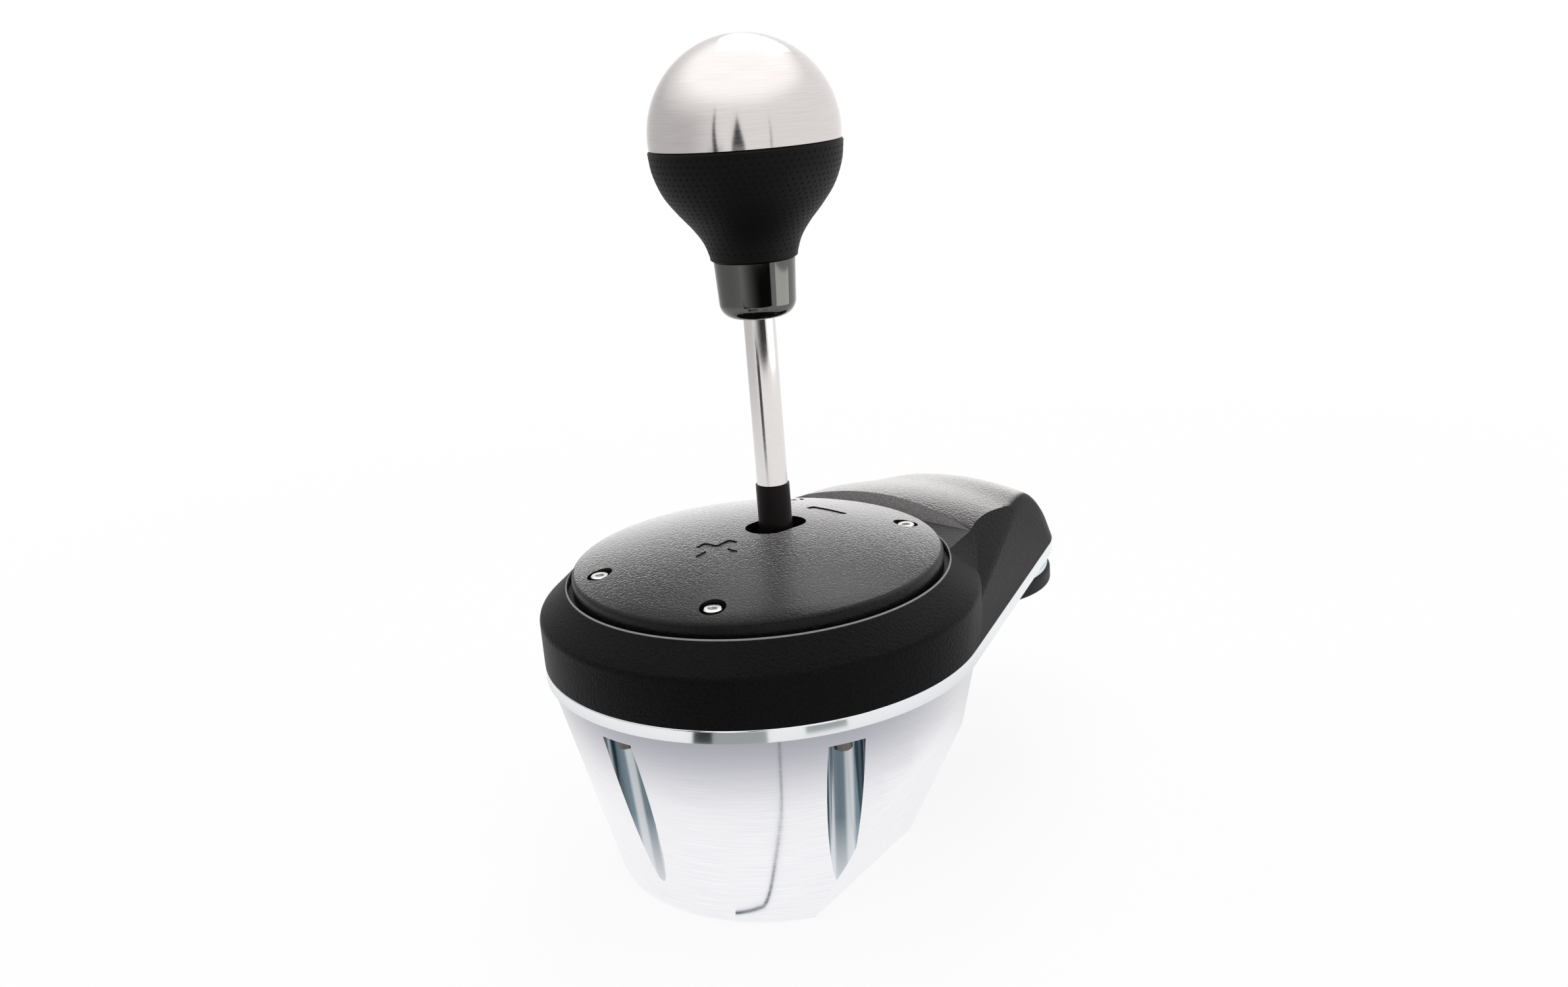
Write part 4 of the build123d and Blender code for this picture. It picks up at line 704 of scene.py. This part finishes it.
wall_foot, wall_lean = 45.2, 0.2364             # the wall's radius at height 0, and what it gains per mm up
wall_clearance = 0.12                           # how far inside the wall a flute's faces lie at least
flange_foot = 58.6
flute_turns = (-86.0, -26.0, -146.0)
flute_half_turn = 8.0                           # degrees to each side of a flute's middle
flute_bottom, flute_roof = 6.0, 54.7
flute_depth_radius = 46.5                       # a flute's faces lie outside this radius
flute_foot, flute_foot_axis, flute_run = 9.5, 52.5, 0.0933  # a height, the cut's axis there, and its lean
bowl_flange, bowl_flute = 1, 2                  # the places of the two materials in the bowl's list


def paint_bowl(mesh):
    """Gives the flange and the flutes their finish, and each corner in a flute its place across it.

    The attribute wall_turn is 0 along a flute's middle and 1 or -1 at its edges.
    """
    wall_turn = mesh.attributes.new("wall_turn", "FLOAT", "CORNER")
    for face in mesh.polygons:
        spot = face.center / mm
        out = sqrt(spot.x ** 2 + spot.y ** 2)
        turn = degrees(atan2(spot.y, spot.x))
        flute = min(flute_turns, key=lambda middle: abs(turn - middle))
        cut_in = flute_depth_radius < out < wall_foot + wall_lean * spot.z - wall_clearance
        if spot.z > flange_foot:
            face.material_index = bowl_flange
        elif cut_in and abs(turn - flute) < flute_half_turn and flute_bottom < spot.z < flute_roof:
            face.material_index = bowl_flute
            radial = Vector(pointing(flute))
            aside = Vector((-radial.y, radial.x, 0.0))
            for corner in face.loop_indices:
                place = mesh.vertices[mesh.loops[corner].vertex_index].co / mm
                inward = flute_foot_axis + flute_run * (place.z - flute_foot) - place.dot(radial)
                wall_turn.data[corner].value = atan2(place.dot(aside), inward) / (pi / 2)


bowl = refined("body_shell", "bowl", crease=30.0)
painted(bowl, bowl_metal, flange_metal, flute_metal)
paint_bowl(bowl.data)
stands_for(bowl, "housing", "cast_alloy", "body_shell")

# Screws that show, in mm

head_radius, head_height, shank_radius = 2.4, 2.6, 1.5
head_chamfer = 0.12 * head_radius
hex_radius, hex_chamfer, hex_floor = 1.35, 0.14, 0.45 * head_height
# painted shade in the hex recesses: the span where the dark finish goes
recess_shade_radius = 1.02 * hex_radius                 # takes in the recess's walls
recess_shade_from, recess_shade_to = 0.3 * head_height, head_height - 0.2


def socket_screw(name, shank_length, sides=36):
    """A socket head with a small chamfer and a six-sided recess, its seat at the origin and its head up."""
    outside = [(shank_radius, -shank_length), (shank_radius, 0.0), (head_radius, 0.0),
               (head_radius, head_height - head_chamfer), (head_radius - head_chamfer, head_height)]
    recess = [(hex_radius + hex_chamfer, head_height), (hex_radius, head_height - hex_chamfer),
              (hex_radius, hex_floor)]
    work = bmesh.new()
    rings = [ring(work, radius, height, sides) for radius, height in outside]
    rings += [ring(work, radius, height, sides, hexagonal=True) for radius, height in recess]
    skin(work, rings)
    work.faces.new(list(reversed(rings[0])))
    work.faces.new(rings[-1])
    return plain_object(name, mesh_of(work, name))


def around(radius, turns):
    """Places round the origin at a radius."""
    return [(radius * cos(radians(turn)), radius * sin(radians(turn))) for turn in turns]


def recess_painted_shade(piece, spots, direction, seat):
    """Paints shade into the recess of each head, with the dark finish."""
    piece.data.materials.append(hole_painted_shade)
    for face in piece.data.polygons:
        middle = face.center / mm
        rise = (middle.z - seat) * direction
        near = min(sqrt((middle.x - x) ** 2 + (middle.y - y) ** 2) for x, y in spots)
        if near < recess_shade_radius and recess_shade_from < rise < recess_shade_to:
            face.material_index = 1


plate_ring, plate_seat, plate_shank = 43.1, 84.5, 8.4
plate_spots = around(plate_ring, (60.0, 120.0, 240.0, 300.0))
plate_heads = repeated("plate_screw_set", [(x, y, plate_seat) for x, y in plate_spots], [(0, 0, 1)] * 4,
                       socket_screw("plate_screw", plate_shank), screw_metal)
recess_painted_shade(plate_heads, plate_spots, 1, plate_seat)
stands_for(plate_heads, "housing", "screw_steel", "plate_screws")

flute_ring, flute_seat, tail_seat, housing_shank = 55.0, 54.6, 58.8, 12.0
flute_spots = around(flute_ring, flute_turns)
tail_spots = [(-32.0, 42.0), (32.0, 42.0)]
under_spots = [(x, y, flute_seat) for x, y in flute_spots] + [(x, y, tail_seat) for x, y in tail_spots]
under_heads = repeated("housing_screw_set", under_spots, [(0, 0, -1)] * 5,
                       socket_screw("housing_screw", housing_shank), shaded_steel)
recess_painted_shade(under_heads, flute_spots, -1, flute_seat)
stands_for(under_heads, "housing", "screw_steel", "housing_screws")

# Foot

foot = refined("tail_foot", "foot", crease=30.0, centre=foot_axis)
painted(foot, foot_metal)
stands_for(foot, "housing", "foot_metal", "tail_foot")

# Each spring is a smooth copy of its node, set in place; its held end at the bracket and its moving end
# towards the shuttle are found along Y but not used
for node, name, held_end, moving_end in (("spring_rear", "rear_coil", min, max),
                                         ("spring_front", "front_coil", max, min)):
    coil = refined(node, name, crease=60.0)
    painted(coil, wire_steel)
    ends = [vertex.co.y for vertex in coil.data.vertices]
    held, moving = held_end(ends), moving_end(ends)
    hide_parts(node)
    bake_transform(coil)


# Stage: the floor and the room, in metres

dim_side = -150.0              # azimuth of the studio's darker side
dim_turn = (0.1, 0.9)          # how far a direction points to that side, from no dimming to all of it
dim_share = 0.36


def towards_dim_side(owner, direction):
    """A share that goes from 0 to 1 as a direction turns to the darker side."""
    flat = reckon_vector(owner, "NORMALIZE", reckon_vector(owner, "MULTIPLY", direction, level_out))
    return soft_step(owner, reckon_vector(owner, "DOT_PRODUCT", flat, pointing(dim_side)), *dim_turn)


def mixed_shaders(owner, share, first, second):
    """A shader that goes from first to second as share goes from 0 to 1."""
    node = add_node(owner, "ShaderNodeMixShader")
    join_up(owner, share, node.inputs["Fac"])
    join_up(owner, first.outputs[0], node.inputs[1])
    join_up(owner, second.outputs[0], node.inputs[2])
    return node


floor_matt = (0.86, 0.86, 0.87, 1.0)
floor_glow, far_glow = 0.88, 0.12  # the share of plain light near by, and what it gains far off
floor_far = (0.25, 0.7)        # distances between which far off begins
ring_start, ring_end = (0.06, 0.12), (0.13, 0.2)  # distances over which the ring comes and goes
ring_shade = 0.24


def floor_paint():
    """A pale matt floor, near white to the camera. Reflections see a shaded ring and a darker side on it."""
    paint = bpy.data.materials.new("floor paint")
    paint.use_nodes = True
    paint.node_tree.nodes.clear()
    surface = add_node(paint, "ShaderNodeOutputMaterial")
    matt = add_node(paint, "ShaderNodeBsdfDiffuse", Color=floor_matt)
    glow = add_node(paint, "ShaderNodeEmission")
    rays = add_node(paint, "ShaderNodeLightPath").outputs
    place = own_place(paint)
    distance = reckon_vector(paint, "LENGTH", place)
    far_off = soft_step(paint, distance, *floor_far)
    dim = reckon(paint, "MULTIPLY", towards_dim_side(paint, place), far_off)
    level = reckon(paint, "MULTIPLY_ADD", dim, -dim_share, 1.0)
    level = reckon(paint, "MULTIPLY_ADD", soft_step(paint, distance, *ring_start), -ring_shade, level)
    level = reckon(paint, "MULTIPLY_ADD", soft_step(paint, distance, *ring_end), ring_shade, level)
    level = reckon(paint, "MAXIMUM", level, rays["Is Camera Ray"])
    join_up(paint, level, glow.inputs["Strength"])
    seen = reckon(paint, "MAXIMUM", rays["Is Camera Ray"], rays["Is Glossy Ray"])
    share = reckon(paint, "MULTIPLY", seen, reckon(paint, "MULTIPLY_ADD", far_off, far_glow, floor_glow))
    join_up(paint, mixed_shaders(paint, share, matt, glow).outputs[0], surface.inputs["Surface"])
    return paint


floor_size = 12.0
floor_drop = 0.0002            # how far the floor lies below the bowl's underside
floor_mesh = bpy.data.meshes.new("floor")
floor_mesh.from_pydata([(-floor_size, -floor_size, 0), (floor_size, -floor_size, 0),
                        (floor_size, floor_size, 0), (-floor_size, floor_size, 0)], [], [(0, 1, 2, 3)])
floor = plain_object("floor", floor_mesh)
floor.location.z = -floor_drop
floor.data.materials.append(floor_paint())

room_light, room_colour = 0.42, (0.97, 0.98, 1.0, 1.0)
overhead_height = (0.5, 0.8)   # height of a direction, over which the soft light overhead comes on
overhead_gain = 0.45
dim_height = (0.25, 0.6)       # height of a direction, over which the darker side ends


def studio_world():
    """A room that is white to the camera. Reflections see a wide soft light overhead and one darker side."""
    world = bpy.data.worlds.new("studio")
    world.use_nodes = True
    world.node_tree.nodes.clear()
    surface = add_node(world, "ShaderNodeOutputWorld")
    room = add_node(world, "ShaderNodeBackground", Color=room_colour, Strength=room_light)
    white = add_node(world, "ShaderNodeBackground", Color=(1.0, 1.0, 1.0, 1.0), Strength=1.0)
    mirrored = add_node(world, "ShaderNodeBackground", Color=(1.0, 1.0, 1.0, 1.0))
    rays = add_node(world, "ShaderNodeLightPath").outputs
    direction = add_node(world, "ShaderNodeTexCoord").outputs["Generated"]
    height = along_axis(world, direction, "Z")
    low_down = reckon(world, "SUBTRACT", 1.0, soft_step(world, height, *dim_height))
    dim = reckon(world, "MULTIPLY", towards_dim_side(world, direction), low_down)
    level = reckon(world, "MULTIPLY_ADD", dim, -dim_share, 1.0)
    level = reckon(world, "MULTIPLY_ADD", soft_step(world, height, *overhead_height), overhead_gain, level)
    join_up(world, level, mirrored.inputs["Strength"])
    lit = mixed_shaders(world, rays["Is Glossy Ray"], room, mirrored)
    shown = mixed_shaders(world, rays["Is Camera Ray"], lit, white)
    join_up(world, shown.outputs[0], surface.inputs["Surface"])
    return world


scene.world = studio_world()


# Stage: studio cards, in mm

pale_end = 45.0                # strength of a faded card's pale end


def card_paint(name, colour, strength, soft_end=0.0):
    """Plain light for a card. With a soft end, it fades from pale to its own strength over that share."""
    paint = bpy.data.materials.new(name)
    paint.use_nodes = True
    paint.node_tree.nodes.clear()
    shine = add_node(paint, "ShaderNodeEmission", Color=(*colour, 1.0), Strength=strength)
    surface = add_node(paint, "ShaderNodeOutputMaterial")
    join_up(paint, shine.outputs[0], surface.inputs["Surface"])
    if soft_end:
        across = along_axis(paint, add_node(paint, "ShaderNodeTexCoord").outputs["Generated"], "X")
        share = soft_step(paint, across, 0.0, soft_end)
        join_up(paint, reckon(paint, "MULTIPLY_ADD", share, strength - pale_end, pale_end),
                shine.inputs["Strength"])
    return paint


card_black = card_paint("card black", (0.03, 0.035, 0.04), 1.0)
card_faded = card_paint("card faded", (0.02, 0.02, 0.02), 1.0, 0.7)
card_blue = card_paint("card blue", (0.03, 0.055, 0.075), 1.0)
card_grey = card_paint("card grey", (0.36, 0.39, 0.38), 1.0)
card_bright = card_paint("card bright", (1.0, 1.0, 0.97), 2.6)


def card(name, corners, paint):
    """A studio card that only shows in reflections."""
    mesh = bpy.data.meshes.new(name)
    mesh.from_pydata([(x * mm, y * mm, z * mm) for x, y, z in corners], [], [tuple(range(len(corners)))])
    piece = plain_object(name, mesh)
    piece.data.materials.append(paint)
    piece.visible_camera = False
    piece.visible_diffuse = False
    piece.visible_shadow = False
    piece.visible_transmission = False


def upright(name, azimuth, distance, outline, paint=card_black):
    """A standing card at an azimuth, facing the stick, with its outline as (sideways, height)."""
    ahead = Vector(pointing(azimuth))
    aside = Vector((-ahead.y, ahead.x, 0.0))
    centre = Vector((*stick_axis, 0.0)) + ahead * distance
    card(name, [tuple(centre + aside * side + Vector((0.0, 0.0, height))) for side, height in outline], paint)


def strip(name, route, half_width, paint, lift=0.6):
    """A thin line laid on the floor, through places of (distance, azimuth)."""
    spots = [Vector(pointing(azimuth)) * distance for distance, azimuth in smooth_line(route, steps=6)]
    left, right = [], []
    for index, spot in enumerate(spots):
        ahead = (spots[min(index + 1, len(spots) - 1)] - spots[max(index - 1, 0)]).normalized()
        aside = Vector((-ahead.y, ahead.x, 0.0)) * half_width
        left.append((*(spot + aside).xy, lift))
        right.append((*(spot - aside).xy, lift))
    card(name, left + right[::-1], paint)


def patch(name, near, far, start, end, paint=card_black, lift=0.5, steps=24):
    """A patch on the floor, between two distances and two azimuths."""
    corners = [(*spot, lift) for spot in arc((0.0, 0.0), near, start, end, steps)]
    corners += [(*spot, lift) for spot in arc((0.0, 0.0), far, end, start, steps)]
    card(name, corners, paint)


upright("flag_left", -79.0, 400.0, [(-70, 0), (70, 0), (70, 85), (20, 110), (9, 300), (4, 420),
                                    (-4, 420), (-9, 300), (-20, 110), (-70, 85)])
upright("flag_centre", -52.0, 420.0, [(-70, 85), (60, 85), (0, 370)])
upright("flag_right", -15.0, 420.0, [(-7, 90), (5, 90), (2, 330), (0, 330)])
strip("flag_floor", [(114.0, -41.0), (96.0, -41.8), (80.0, -42.8), (63.6, -47.0),
                     (51.6, -51.0), (49.0, -55.0), (47.6, -62.0)], 0.5, card_blue)
patch("rim_grey", 168.0, 300.0, -77.5, -46.0, card_grey, 0.4)
patch("flag_rim", 176.0, 250.0, -77.5, -69.0)
patch("flag_rim_right", 190.0, 232.0, -30.0, -12.0, card_grey)

# Two cards close to the stick, which show in the knob's collar
upright("collar_dark", -38.0, 100.0, [(-125, 116), (66, 116), (66, 143), (-125, 143)], card_faded)
upright("collar_light", 34.0, 90.0, [(-40, 118), (40, 118), (40, 143), (-40, 143)], card_bright)


# Stage: lamps and camera, in metres

def lamp(name, place, aim, size, power, shows=False):
    """A soft rectangular lamp, which shows in reflections only where shows is set."""
    data = bpy.data.lights.new(name, "AREA")
    data.shape = "RECTANGLE"
    data.size, data.size_y = size
    data.energy = power
    light = bpy.data.objects.new(name, data)
    scene.collection.objects.link(light)
    light.location = place
    light.rotation_euler = (Vector(aim) - Vector(place)).to_track_quat("-Z", "Y").to_euler()
    light.visible_glossy = shows


lamp("overhead", (0.12, -0.12, 1.05), (0.0, 0.0, 0.1), (0.9, 0.9), 6.0)
lamp("top_back", (-0.45, 0.62, 0.90), (0.0, 0.03, 0.08), (0.5, 0.4), 3.0, True)
lamp("left_front", (-0.80, -0.55, 0.50), (0.0, 0.0, 0.08), (0.5, 0.8), 2.0)
lamp("right_side", (0.85, 0.58, 0.32), (0.0, 0.0, 0.14), (0.35, 0.9), 2.5)

camera_place = (0.27658, -0.26641, 0.21927)
camera_right = Vector((0.7235, 0.6863, -0.0747)).normalized()
camera_up = Vector((-0.1497, 0.2616, 0.9535)).normalized()
camera_back = camera_right.cross(camera_up)
camera_turn = Matrix((camera_right, camera_up, camera_back)).transposed().to_4x4()
camera_data = bpy.data.cameras.new("camera")
camera_data.sensor_fit = "HORIZONTAL"
camera_data.sensor_width = 36.0
camera_data.lens = 34.387
camera_data.clip_start = 0.01
camera = bpy.data.objects.new("camera", camera_data)
scene.collection.objects.link(camera)
camera.matrix_world = Matrix.Translation(camera_place) @ camera_turn
scene.camera = camera

scene.view_settings.view_transform = "Standard"
